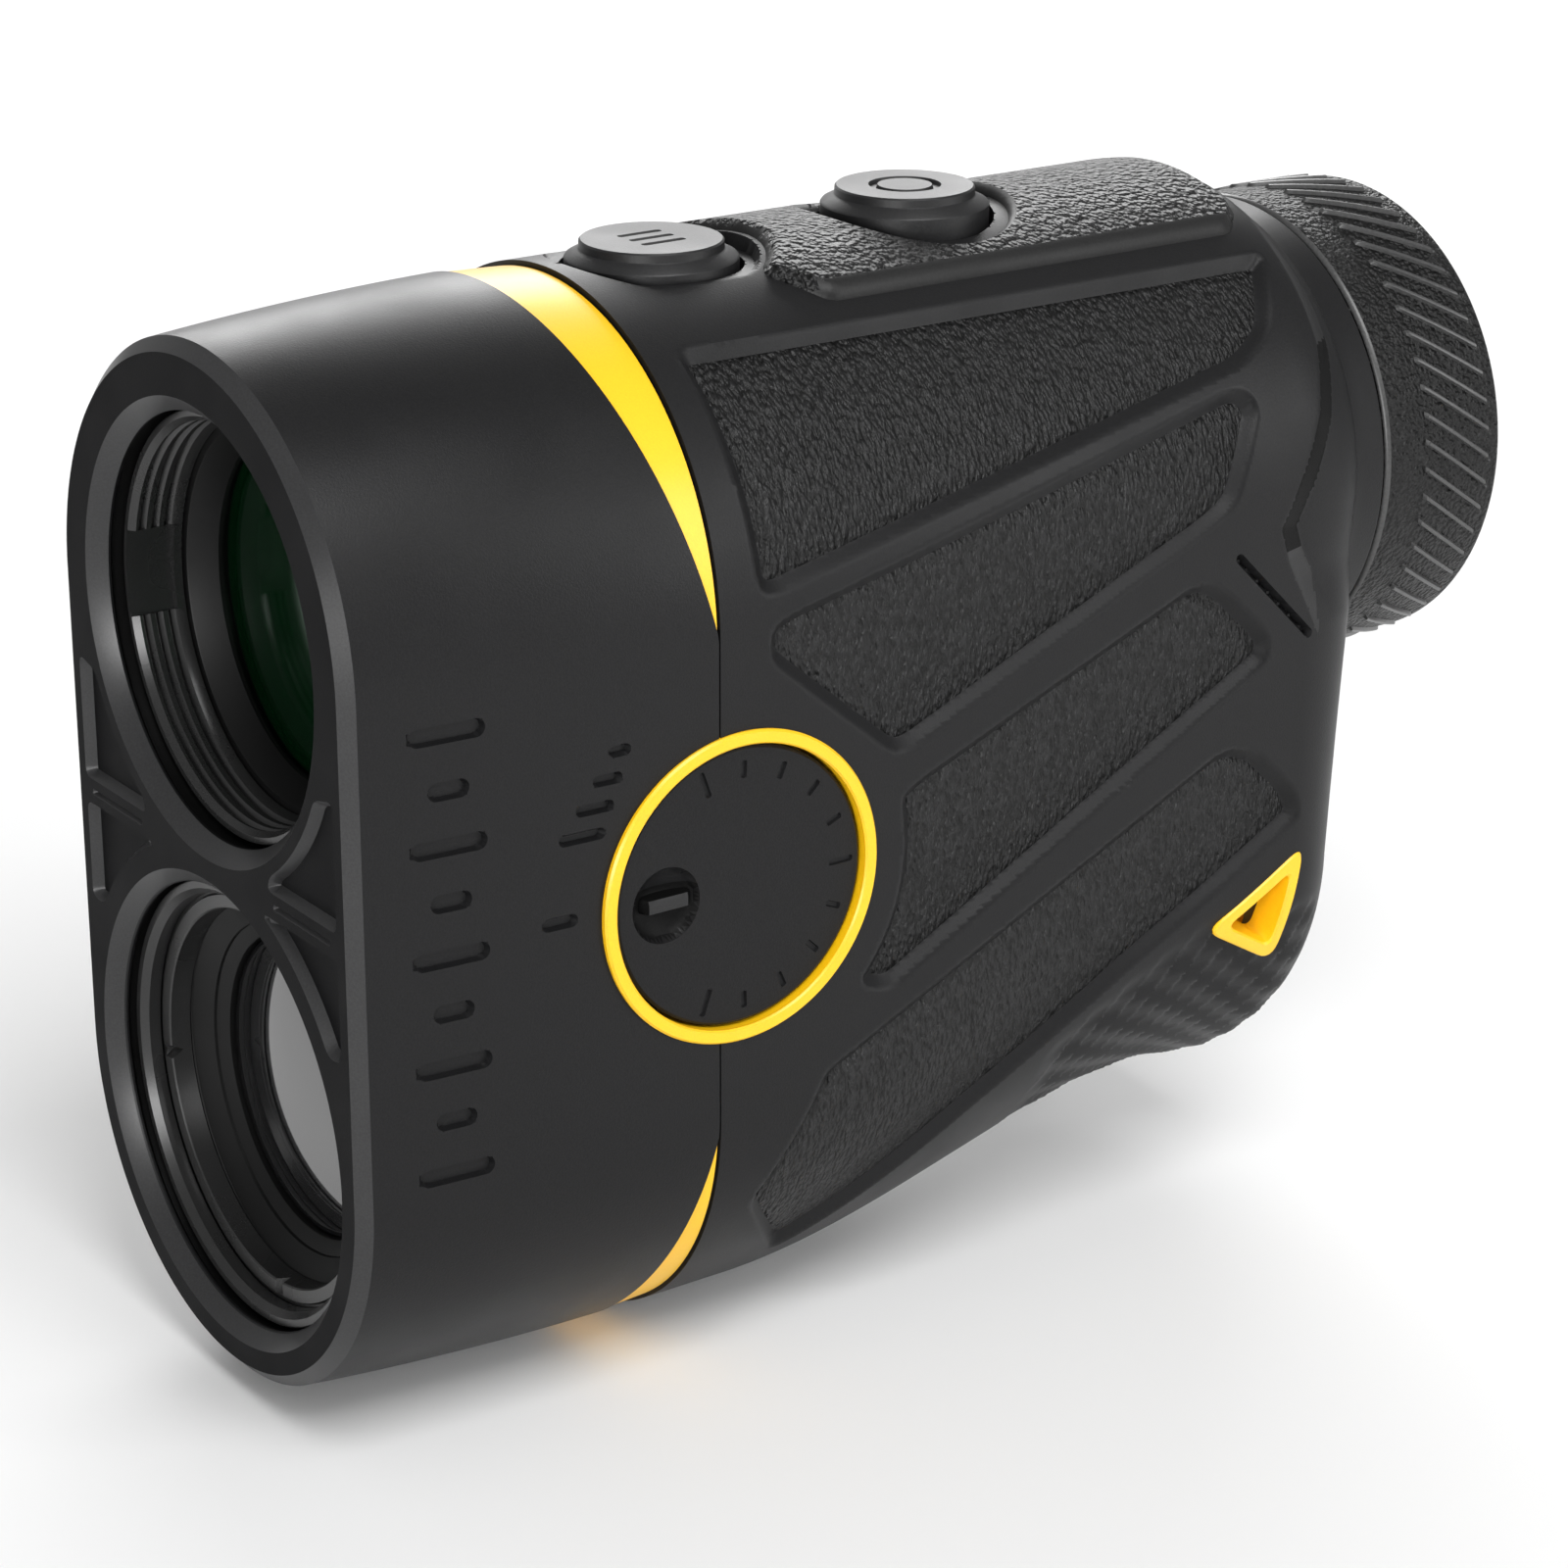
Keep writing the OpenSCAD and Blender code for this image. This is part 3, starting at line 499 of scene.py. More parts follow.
def housing_half(side):
    """Skin, rim and inner wall of one half of the rear housing."""
    cols = columns(124, 134)
    ys = np.linspace(FRONT_LEN + 0.12, REAR_Y, 218)[:, None]
    t = column_heights(ys, cols, housing_shape)
    y = ys + 0 * t
    reach = 0.14
    contours = [(lambda u, v, key=key: signed_distance(PAD_LOOPS[key], u, v)) for key in PAD_LOOPS]
    for distance in contours:
        snap(y, t, distance, -POCKET_BEVEL, reach)
        snap(y, t, distance, 0.0, reach)
    snap(y, t, slit_distance, 0.0, 0.17)
    snap(y, t, crease_distance, 0.0, reach)
    snap(y, t, crease_distance, -CREASE_WIDTH, reach)
    seats = []
    for radius, drop in ((SEAT_R, 0), (SKIRT_R + SEAT_GAP, HOLE_DROP)):
        seats.append((seat_distance(MODE_Y, radius), MODE_SEAT - drop))
        seats.append((seat_distance(POWER_Y, radius), POWER_SEAT - drop))
    for distance, _ in seats:
        snap(y, t, distance, 0.0, reach)
    depth = 0 * t
    for distance in contours:
        depth += POCKET_DEPTH * ramp(distance(y, t), POCKET_BEVEL)
    depth += CREASE_DEPTH * ramp(crease_distance(y, t), CREASE_WIDTH) * smooth01((t - 7.5) / 5)
    depth += 0.6 * ramp(slit_distance(y, t), 0.2)
    depth += scales(y, t)
    skin = wrap(y, t, depth, housing_shape, side)
    for distance, floor in seats:
        inside = distance(y, t) < -0.01
        skin[..., 2] = np.where(inside, np.minimum(skin[..., 2], floor), skin[..., 2])
    inner_y = np.linspace(REAR_Y - 0.02, FRONT_LEN + 0.14, 14)[:, None]
    inner_t = column_heights(inner_y, cols, housing_shape)
    inner = wrap(inner_y + 0 * inner_t, inner_t, WALL + 0 * inner_t, housing_shape, side)
    under_keys = np.abs(inner[..., 0]) < 9
    inner[..., 2] = np.where(under_keys, np.minimum(inner[..., 2], MODE_SEAT - 4), inner[..., 2])
    grid = np.concatenate([skin, inner])
    grid[..., 0] = side * np.abs(grid[..., 0])
    return swept(grid, False), skin[-1]


def without(shape, covered):
    """Drops the faces in a side of the body that another piece takes the place of."""
    points, faces = shape
    quads = [face for face in faces if len(face) == 4]
    rest = [face for face in faces if len(face) != 4]
    mid = points[np.array(quads)].mean(axis=1)
    gone = covered(mid)
    return points, rest + [face for face, drop in zip(quads, gone) if not drop]


def under_dial(mid):
    return (mid[:, 0] > 10) & (np.hypot(mid[:, 1] - DIAL_Y, mid[:, 2] - DIAL_Z) < DIAL_R - 0.4)


def under_eye(mid):
    return (np.abs(mid[:, 0]) > 10) & (signed_distance(EYE_LOOP, mid[:, 1], mid[:, 2]) < -0.45)


def rear_wall(edge, side):
    """Half of the rear wall, open around the eyepiece tube and the port plate."""
    port_low, port_high = node_mm("port_plate")
    half_w, port_z0, port_z1 = port_high[0], port_low[2], port_high[2]
    section = [(abs(p[0]), p[2]) for p in edge[::4]]
    bottom_z, top_z = section[-1][1], section[0][1]
    arc = [
        (TUBE_R * math.cos(a), UPPER_Z + TUBE_R * math.sin(a))
        for a in np.linspace(-HALF_PI, HALF_PI, 33)
    ]
    inner = [(0.0, bottom_z)] + box(0.0, half_w, port_z0, port_z1)
    outline = np.array(section[:-1] + inner + arc + [(0.0, top_z)])
    gap = np.linalg.norm(outline - np.roll(outline, 1, axis=0), axis=1) > 1e-4
    outline = outline[gap]

    def place(u, v, d):
        return np.stack([side * u, REAR_Y - d, v], axis=-1)

    return relief(outline, [], [], 2.0, level, place, WALL)


# ---------------------------------------------------------------- front shell
BAND_TIP_UP = 0.3 + UPPER_Z
BAND_TIP_LOW = LOWER_Z - 1.1
BAND_BACK_UP = 5.2
BAND_BACK_LOW = 4.6


def band_front(z):
    """Where the shell ends and the trim band starts, at a height."""
    up = (z - BAND_TIP_UP) / (UPPER_Z + BODY_R - BAND_TIP_UP)
    low = (BAND_TIP_LOW - z) / (BAND_TIP_LOW - LOWER_Z + BODY_R)
    return FRONT_LEN - np.where(up > 0, BAND_BACK_UP * up, 0) - np.where(low > 0, BAND_BACK_LOW * low, 0)


def skin_height(t, r):
    """Height z of the unrolled height t on a skin of radius r."""
    angle = np.where(t > UPPER_Z, (t - UPPER_Z) / r, np.where(t < LOWER_Z, (t - LOWER_Z) / r, 0.0))
    return np.clip(t, LOWER_Z, UPPER_Z) + r * np.sin(angle)


INDEX_PLACE = (14.4, 0.25)
MARK_Y = 6.8
MARK_HALF = 2.6


def mark_distance(y, t):
    """A column of sunk bars, an index bar and a wedge sign, all on the dial side."""
    best = bar_distance(y, t, INDEX_PLACE, 1.3, 0.45)
    for k in range(9):
        place = (MARK_Y, 14.4 - 3.7 * k)
        half = MARK_HALF if k % 2 == 0 else MARK_HALF * 0.55
        best = np.minimum(best, bar_distance(y, t, place, half, 0.62))
    for k in range(4):
        place = (DIAL_Y - 12.1 + 0.95 * k, DIAL_Z + 6.1 + 1.75 * k)
        best = np.minimum(best, bar_distance(y, t, place, 1.7 - 0.3 * k, 0.4))
    return best


def front_skin():
    """The shell's skin with its nose chamfer, its sunk marks and its inner wall."""
    arc, near_side, far_side = 52, 216, 44
    near = columns(arc, near_side)
    far = columns(arc, far_side)
    kinds = np.concatenate([near[0][:-1], far[0][::-1][:-1]])
    shares = np.concatenate([near[1][:-1], far[1][::-1][:-1]])
    side = np.concatenate([np.ones(len(near[0]) - 1), -np.ones(len(far[0]) - 1)])
    cols = (kinds, shares)
    row_share = [0, 0.06, 0.42, 0.5, 0.96, 1]
    way_back = [0, 0.14, 0.38, 0.46, 0.94, 1]
    rows = np.interp(np.linspace(0, 1, 150), row_share, way_back)[:, None]
    t = column_heights(rows * FRONT_LEN, cols, nose_shape)
    ends = band_front(skin_height(t[-1:], BODY_R))
    y = CHAMFER + rows * (ends - CHAMFER)
    t = column_heights(y, cols, nose_shape)
    dial_side = side[None, :] + 0 * t > 0
    y_marks, t_marks = y.copy(), t.copy()
    snap(y_marks, t_marks, mark_distance, 0.0, 0.085)
    snap(y_marks, t_marks, mark_distance, -0.16, 0.07)
    y = np.where(dial_side, y_marks, y)
    t = np.where(dial_side, t_marks, t)
    depth = np.where(dial_side, 0.45 * ramp(mark_distance(y, t), 0.16), 0.0)
    skin = wrap(y, t, depth, nose_shape, side)
    edge_t = column_heights(0 * rows[:1], cols, nose_shape)
    face = wrap(0 * edge_t, edge_t, CHAMFER + 0 * edge_t, nose_shape, side)
    behind = wrap(0 * edge_t + 0.4, edge_t, CHAMFER + 0.02 + 0 * edge_t, nose_shape, side)
    inner = []
    for share in np.linspace(1, 0.05, 8):
        yi = CHAMFER + share * (ends - CHAMFER)
        ti = column_heights(yi, cols, nose_shape)
        inner.append(wrap(yi, ti, WALL + 0 * ti, nose_shape, side))
    return swept(np.concatenate([behind, face, skin] + inner), True)


def trim_band(upper):
    """One trim band, as a thin curved plate between the shell's edge and the parting line."""
    half, rows = 90, 14
    share = np.linspace(-1, 1, 2 * half + 1)
    tip_t = float(unroll(FRONT_LEN, BAND_TIP_UP if upper else BAND_TIP_LOW, nose_shape))
    top_t = UPPER_Z + BODY_R * HALF_PI if upper else LOWER_Z - BODY_R * HALF_PI
    t = top_t + (tip_t - top_t) * np.abs(share)[None, :]
    side = np.where(share < 0, -1.0, 1.0)
    start = band_front(skin_height(t, BODY_R))
    along = np.linspace(0, 1, rows)[:, None]
    outer_y = start - 0.5 + along * (FRONT_LEN - start + 0.4)
    slope = 0.28 * along * (FRONT_LEN - start) / BAND_BACK_UP
    outer = wrap(outer_y, t + 0 * outer_y, 0.06 + slope, nose_shape, side)
    inner = wrap(outer_y[::-1], t + 0 * outer_y, 1.2 + 0 * outer_y, nose_shape, side)
    return swept(np.concatenate([outer, inner]), False)


def bezel_arc(centre_z, radius, start, end, count=9):
    """Points of a pocket's side that follows an aperture."""
    return [
        (radius * math.cos(math.radians(a)), centre_z + radius * math.sin(math.radians(a)))
        for a in np.linspace(start, end, count)
    ]


UPPER_BORE = 14.2
LOWER_BORE = 15.4
BORE_BEVEL = 1.1
BORES = ((UPPER_BORE, UPPER_Z), (LOWER_BORE, LOWER_Z))
POCKET_SIDE = 17.1


def nose_pockets():
    """The sunk corners beside the two apertures, on both sides."""
    upper = [(POCKET_SIDE, 1.9), (8.3, 1.9)] + bezel_arc(UPPER_Z, 16.2, -58, -24, 7) + [(POCKET_SIDE, 10.6)]
    lower = [(7.9, 0.1), (POCKET_SIDE, 0.1), (POCKET_SIDE, -6.9)] + bezel_arc(LOWER_Z, 18.2, 32, 66, 7)
    groove = box(9.0, 16.2, 1.22, 0.78)
    shapes = [rounded(upper, 0.7, 4), rounded(lower, 0.7, 4), rounded(groove, 0.2, 3)]
    flip = np.array([-1.0, 1.0])
    return shapes + [loop * flip for loop in shapes]


def nose_plate():
    """The flat front face with its two bevelled apertures and sunk corners."""
    y0 = np.zeros(1)
    edge = []
    for side in (1, -1):
        half = columns(48, 40)
        t = column_heights(y0, half, nose_shape)
        rim = wrap(0 * t, t, CHAMFER + 0 * t, nose_shape, side)
        rim = rim if side > 0 else rim[::-1]
        edge += [(p[0], p[2]) for p in rim[:-1]]
    outer = np.array(edge)
    holes = [
        circle((0, UPPER_Z), UPPER_BORE + BORE_BEVEL, 120),
        circle((0, LOWER_Z), LOWER_BORE + BORE_BEVEL, 128),
    ]
    pockets = nose_pockets()
    widths = [0.45, 0.45, 0.2] * 2
    deeps = [0.7, 0.7, 0.35] * 2
    contours = []
    for loop, width in zip(pockets, widths):
        fine = dense(loop, 0.5)
        contours += [fine, inset(fine, width)]

    def depth(u, v):
        total = 0 * u
        for loop, width, deep in zip(pockets, widths, deeps):
            total = total + deep * ramp(signed_distance(dense(loop, 0.5), u, v), width * 0.96)
        return total

    def place(u, v, d):
        return np.stack([u, 0 * u + d, v], axis=-1)

    plate = relief(outer, holes, contours, 1.2, depth, place, 2.6)
    bevels = [
        turned([
            (r + BORE_BEVEL, 0.0), (r + 0.08, BORE_BEVEL - 0.08), (r, BORE_BEVEL + 0.04),
            (r, BORE_BEVEL + 0.2), (r + 0.5, BORE_BEVEL + 0.25), (r + BORE_BEVEL + 0.2, 0.3),
        ], (0, z), steps=128)
        for r, z in BORES
    ]
    return joined(plate, *bevels)


def aperture_liners():
    """Undercut walls behind the two bevels, in the barrel's black, darker than the shell: painted shade
    added to the undercut's own shadow.
    """
    rings = [
        turned([
            (r + 0.1, BORE_BEVEL + 0.22), (r + 0.38, BORE_BEVEL + 0.5), (r + 0.38, 3.1),
            (r + 0.9, 3.1), (r + 0.9, BORE_BEVEL + 0.3),
        ], (0, z), steps=128)
        for r, z in BORES
    ]
    return joined(*rings)


# ---------------------------------------------------------------- pads
def side_pad(key, side):
    """A panel lying in its pocket; its grain is in its material."""
    loop = dense(inset(PAD_LOOPS[key], POCKET_BEVEL * 0.62), 0.5)
    inner = inset(loop, 0.3)

    def depth(u, v):
        edge = signed_distance(loop, u, v)
        return PAD_DEPTH + 0.2 * (1 - smooth01(-edge / 0.5))

    def place(u, v, d):
        return wrap(u, v, d, housing_shape, side)

    return relief(loop, [], [inner], 0.45, depth, place, PAD_DEPTH + 0.3)


TOP_PAD_W = 10.0
TOP_PAD_START = 39.5
TOP_PAD_END = 79.5
PAD_PROUD = 0.7


def top_pad():
    """The raised grip pad, open around the power button and cut back round the mode button."""
    w, y0, y1 = TOP_PAD_W, TOP_PAD_START, TOP_PAD_END
    bite = SEAT_R + 0.4
    a = math.acos((y0 + 0.4 - MODE_Y) / bite)
    arc = [(bite * math.sin(s), MODE_Y + bite * math.cos(s)) for s in np.linspace(a, -a, 15)]
    arc = [p for p in arc if p[1] > y0]
    outline = [(w, y0 + 3), (w, y1 - 2.2), (w - 2.2, y1), (2.2 - w, y1), (-w, y1 - 2.2), (-w, y0 + 3)]
    outline += [(3.2 - w, y0)] + arc[::-1] + [(w - 3.2, y0)]
    loop = dense(rounded(outline, 0.8, 4), 0.6)
    hole = circle((0, POWER_Y), SEAT_R, 72)
    inner = inset(loop, 0.75)
    hole_rim = circle((0, POWER_Y), SEAT_R + 0.45, 72)

    def depth(u, v):
        edge = -signed_distance(loop, u, v)
        rim = np.hypot(u, v - POWER_Y) - SEAT_R
        return -PAD_PROUD * smooth01(edge / 0.75) * smooth01(0.25 + rim / 0.6)

    def place(u, v, d):
        upper = housing_shape(v)[0]
        t = UPPER_Z + upper * (HALF_PI - np.arcsin(np.clip(u / BODY_R, -1, 1)))
        return wrap(v, t, d, housing_shape)

    return relief(loop, [hole], [inner, hole_rim], 0.45, depth, place, 0.35)


# ---------------------------------------------------------------- dial
SCOOP_R = 2.6
SCOOP_DEPTH = 1.15
TICK_R = 8.05
TICK_HALF_WIDTH = 0.22


def dial_ring():
    w = DIAL_R - 0.95
    back, floor = DIAL_LOW[0], DIAL_LOW[0] + 1.2
    return turned([
        (2.1, back), (DIAL_R, back), (DIAL_R, RING_FACE - 0.15), (DIAL_R - 0.14, RING_FACE),
        (w + 0.12, RING_FACE), (w, RING_FACE - 0.12), (w, floor), (2.1, floor),
    ], (DIAL_Y, DIAL_Z), "x", 144)


def dial_disc():
    """The disc with its ticks, its thumb scoop and the scoop's ridge, and its shaft."""
    r = DIAL_R - 0.95 - 0.22
    scoop = (SCOOP_Y, DIAL_Z)
    outer = circle((DIAL_Y, DIAL_Z), r, 160)
    scoop_loop = circle(scoop, SCOOP_R, 64)
    bar = box(scoop[0] - 1.6, scoop[0] + 2.2, scoop[1] - 0.62, scoop[1] + 0.62)
    ridge = dense(rounded(bar, 0.45, 4), 0.3)
    ticks = []
    for k in range(-5, 6):
        angle = math.radians(22 * k)
        length = 0.95 if k % 5 == 0 else 0.6
        c, s = math.cos(angle), math.sin(angle)
        corners = box(TICK_R - length, TICK_R + length, -TICK_HALF_WIDTH, TICK_HALF_WIDTH)
        turned_corners = [(DIAL_Y + u * c - v * s, DIAL_Z + u * s + v * c) for u, v in corners]
        ticks.append(rounded(turned_corners, 0.14, 2))

    def depth(u, v):
        away = np.hypot(u - scoop[0], v - scoop[1])
        bowl = SCOOP_DEPTH * np.sqrt(np.clip(1 - (away / SCOOP_R) ** 2, 0, 1))
        on_ridge = smooth01(-signed_distance(ridge, u, v) / 0.22 + 0.15)
        bowl = bowl * (1 - on_ridge) + 0.12 * on_ridge * (bowl > 0)
        for loop in ticks:
            bowl = bowl + 0.22 * ramp(signed_distance(loop, u, v), 0.08)
        rim = np.hypot(u - DIAL_Y, v - DIAL_Z) - r
        return bowl + 0.14 * (1 - smooth01(-rim / 0.2))

    def place(u, v, d):
        return np.stack([DIAL_FACE - d, u, v], axis=-1)

    contours = [scoop_loop, ridge, circle((DIAL_Y, DIAL_Z), r - 0.2, 150)]
    contours += [inset(loop, 0.07) for loop in ticks] + ticks
    face = relief(outer, [], contours, 0.3, depth, place, 2.6)
    back, front = node_mm("slope_dial")[0][0], DIAL_FACE - 2.4
    shaft = turned([
        (0.0, back), (1.7, back), (2.0, back + 0.3), (2.0, front), (0.0, front),
    ], (DIAL_Y, DIAL_Z), "x", 48)
    return joined(face, shaft)


# ---------------------------------------------------------------- buttons
def button_top(centre_y, top, marks, ring):
    """A button's face with its marks sunk in, or with a sunk ring."""
    r = BUTTON_R - 0.12
    outer = circle((0, centre_y), r, 96)
    contours = []
    for loop in marks:
        contours += [loop, inset(loop, 0.1)]

    def depth(u, v):
        total = 0 * u
        for loop in marks:
            total = total + 0.28 * ramp(signed_distance(loop, u, v), 0.1)
        if ring:
            away = np.abs(np.hypot(u, v - centre_y) - 2.2) - 0.32
            total = total + 0.28 * ramp(away, 0.1)
        return total

    def place(u, v, d):
        return np.stack([u, v, top - d], axis=-1)

    if ring:
        for radius in (1.88, 1.98, 2.42, 2.52):
            contours.append(circle((0, centre_y), radius, 64))
    return relief(outer, [], contours, 0.35, depth, place, 0.5)


def button(centre_y, low, high, seat, marks, ring):
    """A stepped round button with its flange under the housing."""
    top = high[2]
    flange_r, flange_top = high[0], seat - 1.6
    profile = [
        (0.0, top - 0.45), (BUTTON_R - 0.12, top - 0.45), (BUTTON_R - 0.12, top),
        (BUTTON_R, top - 0.12), (BUTTON_R + 0.02, top - 0.62), (BUTTON_R + 0.12, top - 0.72),
        (SKIRT_R - 0.1, top - 1.12), (SKIRT_R, top - 1.26), (SKIRT_R, flange_top),
        (flange_r, flange_top), (flange_r, low[2]), (0.0, low[2]),
    ]
    return joined(button_top(centre_y, top, marks, ring), turned(profile, (0, centre_y), "z", 96))


def bar_marks(centre_y):
    """Three short bars for the mode button."""
    loops = []
    for x in (-1.45, 0.0, 1.45):
        bar = box(x - 0.3, x + 0.3, centre_y - 1.7, centre_y + 1.7)
        loops.append(dense(rounded(bar, 0.25, 3), 0.4))
    return loops


# ---------------------------------------------------------------- eyepiece
def collar():
    """The collar that leads from the housing to the diopter ring."""
    front = BODY_R - ROUND_UPPER - CREASE_DEPTH
    start, end = REAR_Y + 0.05, RING_FRONT - 0.3
    return turned([
        (TUBE_R, start), (front, start), (front - 0.02, start + 0.4), (front - 0.3, start + 1.4),
        (GRIP_R - 0.32, end - 0.3), (GRIP_R - 0.38, end - 0.1), (GRIP_R - 0.55, end), (TUBE_R, end),
    ], (0, UPPER_Z), steps=160)


RIB_COUNT = 54
RIB_HEIGHT = 0.28
RIB_START = 3.8
RIB_MARGIN = 1.5
RIB_SLANT = -0.66
REAR_ROUNDING = 0.55


def diopter_grip():
    """The rubber ring with slanted ribs, and the faces of its ribs and smooth front edge, which wear a
    painted highlight.
    """
    y0, y1 = RING_FRONT, GRIP_HIGH[1]
    start, end = y0 + RIB_START, y1 - RIB_MARGIN
    base_r = GRIP_R - RIB_HEIGHT
    pitch = 2 * math.pi / RIB_COUNT
    offsets = np.array([-0.92, -0.5, -0.24, -0.15, 0.0, 0.15, 0.24, 0.5]) / base_r
    raised = np.array([0, 0, 0, 0.85, 1, 0.85, 0, 0])
    angles = (np.arange(RIB_COUNT)[:, None] * pitch + offsets).ravel()
    heights = np.tile(raised, RIB_COUNT)
    rounding = REAR_ROUNDING
    ys = np.concatenate([
        [y0, y0 + 0.1, y0 + 0.35, y0 + 0.5],
        np.linspace(y0 + 1.0, start - 0.1, 7),
        np.linspace(start + 0.05, end, 16),
        [end + 0.08, end + 0.24, end + 0.4, end + 0.48],
        y1 - rounding + rounding * np.sin(np.linspace(0, HALF_PI, 9)),
    ])
    front_ys = [y0, y0 + 0.1, y0 + 0.3, y0 + 1.5, y1]
    front_radii = [base_r - 0.4, base_r - 0.2, base_r - 0.08, base_r, base_r]
    radii = np.interp(ys, front_ys, front_radii)
    dome = np.clip((ys - (y1 - rounding)) / rounding, 0, 1)
    radii = radii - rounding * (1 - np.sqrt(1 - dome ** 2))
    marks = [y0, start - 0.1, start + 0.05, end, end + 0.08, end + 0.4, end + 0.48, y1]
    strength = np.interp(ys, marks, [0, 0, 1, 1, -0.8, -0.8, 0, 0])
    shear = RIB_SLANT * (np.clip(ys, start - 1, end + 1) - start) / base_r
    turned_by = angles[None, :] + shear[:, None]
    r = radii[:, None] + RIB_HEIGHT * heights[None, :] * strength[:, None]
    skin = np.stack([r * np.cos(turned_by), ys[:, None] + 0 * r, UPPER_Z + r * np.sin(turned_by)], axis=-1)
    inner_r = node_mm("diopter_sleeve")[1][0]
    rows = [skin]
    for y in (y1, y0):
        last = shear[-1] if y == y1 else 0
        u, v = inner_r * np.cos(angles + last), inner_r * np.sin(angles + last)
        rows.append(np.stack([u, y + 0 * u, UPPER_Z + v], axis=-1)[None])
    columns_in_rib = np.isin(np.arange(len(angles)) % len(offsets), (2, 3, 4, 5))
    rows_in_rib = (ys > start - 0.2) & (ys < end + 0.45)
    ribs = np.zeros((len(ys) + 2, len(angles)), bool)
    ribs[:len(ys)] = rows_in_rib[:, None] & columns_in_rib[None, :]
    # The first two rows, the smooth front edge, get the ribs' painted highlight too.
    ribs[:2] = True
    return swept(np.concatenate(rows), True), np.nonzero(ribs.ravel())[0].tolist()


def eyecup():
    """The soft cup with its dish, closed at the sleeve's end."""
    outer = CUP_HIGH[0]
    start, end = CUP_LOW[1], CUP_HIGH[1]
    inner = 12.1
    profile = [(inner, start), (outer, start), (outer, end - 0.35)]
    profile += [(outer - 0.12, end - 0.1), (outer - 0.4, end)]
    for k in range(1, 8):
        s = k / 7
        profile.append((outer - 0.4 - s * (outer - inner - 0.9), end - 1.15 * math.sin(s * HALF_PI)))
    profile += [(inner + 0.3, end - 1.2), (inner, end - 1.35)]
    return turned(profile, (0, UPPER_Z), steps=144)


# ---------------------------------------------------------------- lens assemblies
def angled(sections, centre_z):
    """A ring from (angle, profile) sections, for rings whose profile changes round the turn."""
    grid = []
    for angle, profile in sections:
        c, s = math.cos(angle), math.sin(angle)
        grid.append([(r * c, y, centre_z + r * s) for r, y in profile])
    return swept(np.array(grid).transpose(1, 0, 2), True)


def in_notch(angle, notches):
    """Whether an angle lies in a notch; each has a middle angle and a half width, in degrees."""
    return any(abs((angle - middle + 180) % 360 - 180) < half for middle, half in notches)


def ring_profile(r, inner, front, back, grooves, notched):
    """Retaining ring: flat front, bright chamfer and thread grooves, cut away in a notch."""
    lip = 0.5
    depth = 0.36
    profile = [(r, back), (r, front + 0.1), (r - 0.1, front), (r - lip, front)]
    if notched:
        profile += [(r - lip, front + 0.01), (r - lip, back - 0.75)]
        profile += [(r - lip, back - 0.7 + 0.01 * k) for k in range(3 * grooves)]
        profile += [(inner, back - 0.6), (inner, back)]
        return profile
    profile += [(r - lip - 0.32, front + 0.45), (inner + 0.2, front + 0.6)]
    pitch = (back - front - 1.0) / grooves
    for k in range(grooves):
        y = front + 0.65 + k * pitch
        profile += [(inner + 0.2, y), (inner + 0.2 + depth, y + pitch * 0.3)]
        profile += [(inner + 0.2, y + pitch * 0.62)]
    profile += [(inner, back - 0.2), (inner, back)]
    return profile


def notched_ring(r, inner, front, back, grooves, centre_z, notches):
    """A ring with notches, each given by its middle angle and half width in degrees."""
    plain = ring_profile(r, inner, front, back, grooves, False)
    cut = ring_profile(r, inner, front, back, grooves, True)
    sections = []
    step = 1.5
    for k in range(240):
        angle = k * step
        following = angle + step
        profile = cut if in_notch(angle, notches) else plain
        sections.append((math.radians(angle), profile))
        if in_notch(angle, notches) != in_notch(following, notches):
            sections.append((math.radians(following - 0.03), profile))
    return angled(sections, centre_z)


def lens_shape(r, sag, front, thickness, back_sag, centre_z):
    """A round lens with a domed front, a ground edge and a hollow or domed back."""
    profile = []
    for k in range(25):
        s = k / 24
        profile.append((r * s, front - sag * (1 - s * s)))
    profile += [(r + 0.12, front + 0.15), (r + 0.12, front + thickness - 0.15)]
    for k in range(13):
        s = 1 - k / 12
        profile.append((r * s, front + thickness + back_sag * (1 - s * s)))
    return turned(profile, (0, centre_z), steps=128)


RING_PLAY = 0.05
OBJECTIVE_R = UPPER_BORE - RING_PLAY
RECEIVER_R = LOWER_BORE - RING_PLAY


def objective_barrel():
    """The upper barrel with its stepped baffles, as (radius, distance from the nose)."""
    return turned([
        (OBJECTIVE_R, 15.0), (OBJECTIVE_R, 6.25), (13.9, 6.1), (12.7, 6.12), (12.62, 6.22),
        (11.75, 8.0), (11.75, 8.3), (12.32, 8.35), (12.32, 13.0), (11.4, 13.2), (11.0, 14.6),
        (10.6, 14.8), (10.6, 18.0), (10.2, 18.2), (10.2, 22.0), (9.8, 22.2), (9.8, 29.9),
        (12.9, 29.9), (12.9, 17.2),
    ], (0, UPPER_Z), steps=144)


def receiver_barrel():
    """The lower barrel with the cone in front of its lens."""
    return turned([
        (RECEIVER_R, 15.0), (RECEIVER_R, 4.9), (13.6, 4.85), (13.1, 4.9), (13.05, 5.0),
        (11.6, 5.9), (11.55, 6.1), (10.75, 6.5), (10.6, 6.6), (10.6, 7.2), (13.4, 7.4),
        (13.4, 13.2), (11.8, 13.4), (11.2, 15.2), (11.2, 25.9), (14.1, 25.9), (14.1, 17.0),
    ], (0, LOWER_Z), steps=144)


RECEIVER_SLOTS = [(middle, 1.3) for middle in (186, 276, 6, 96)]


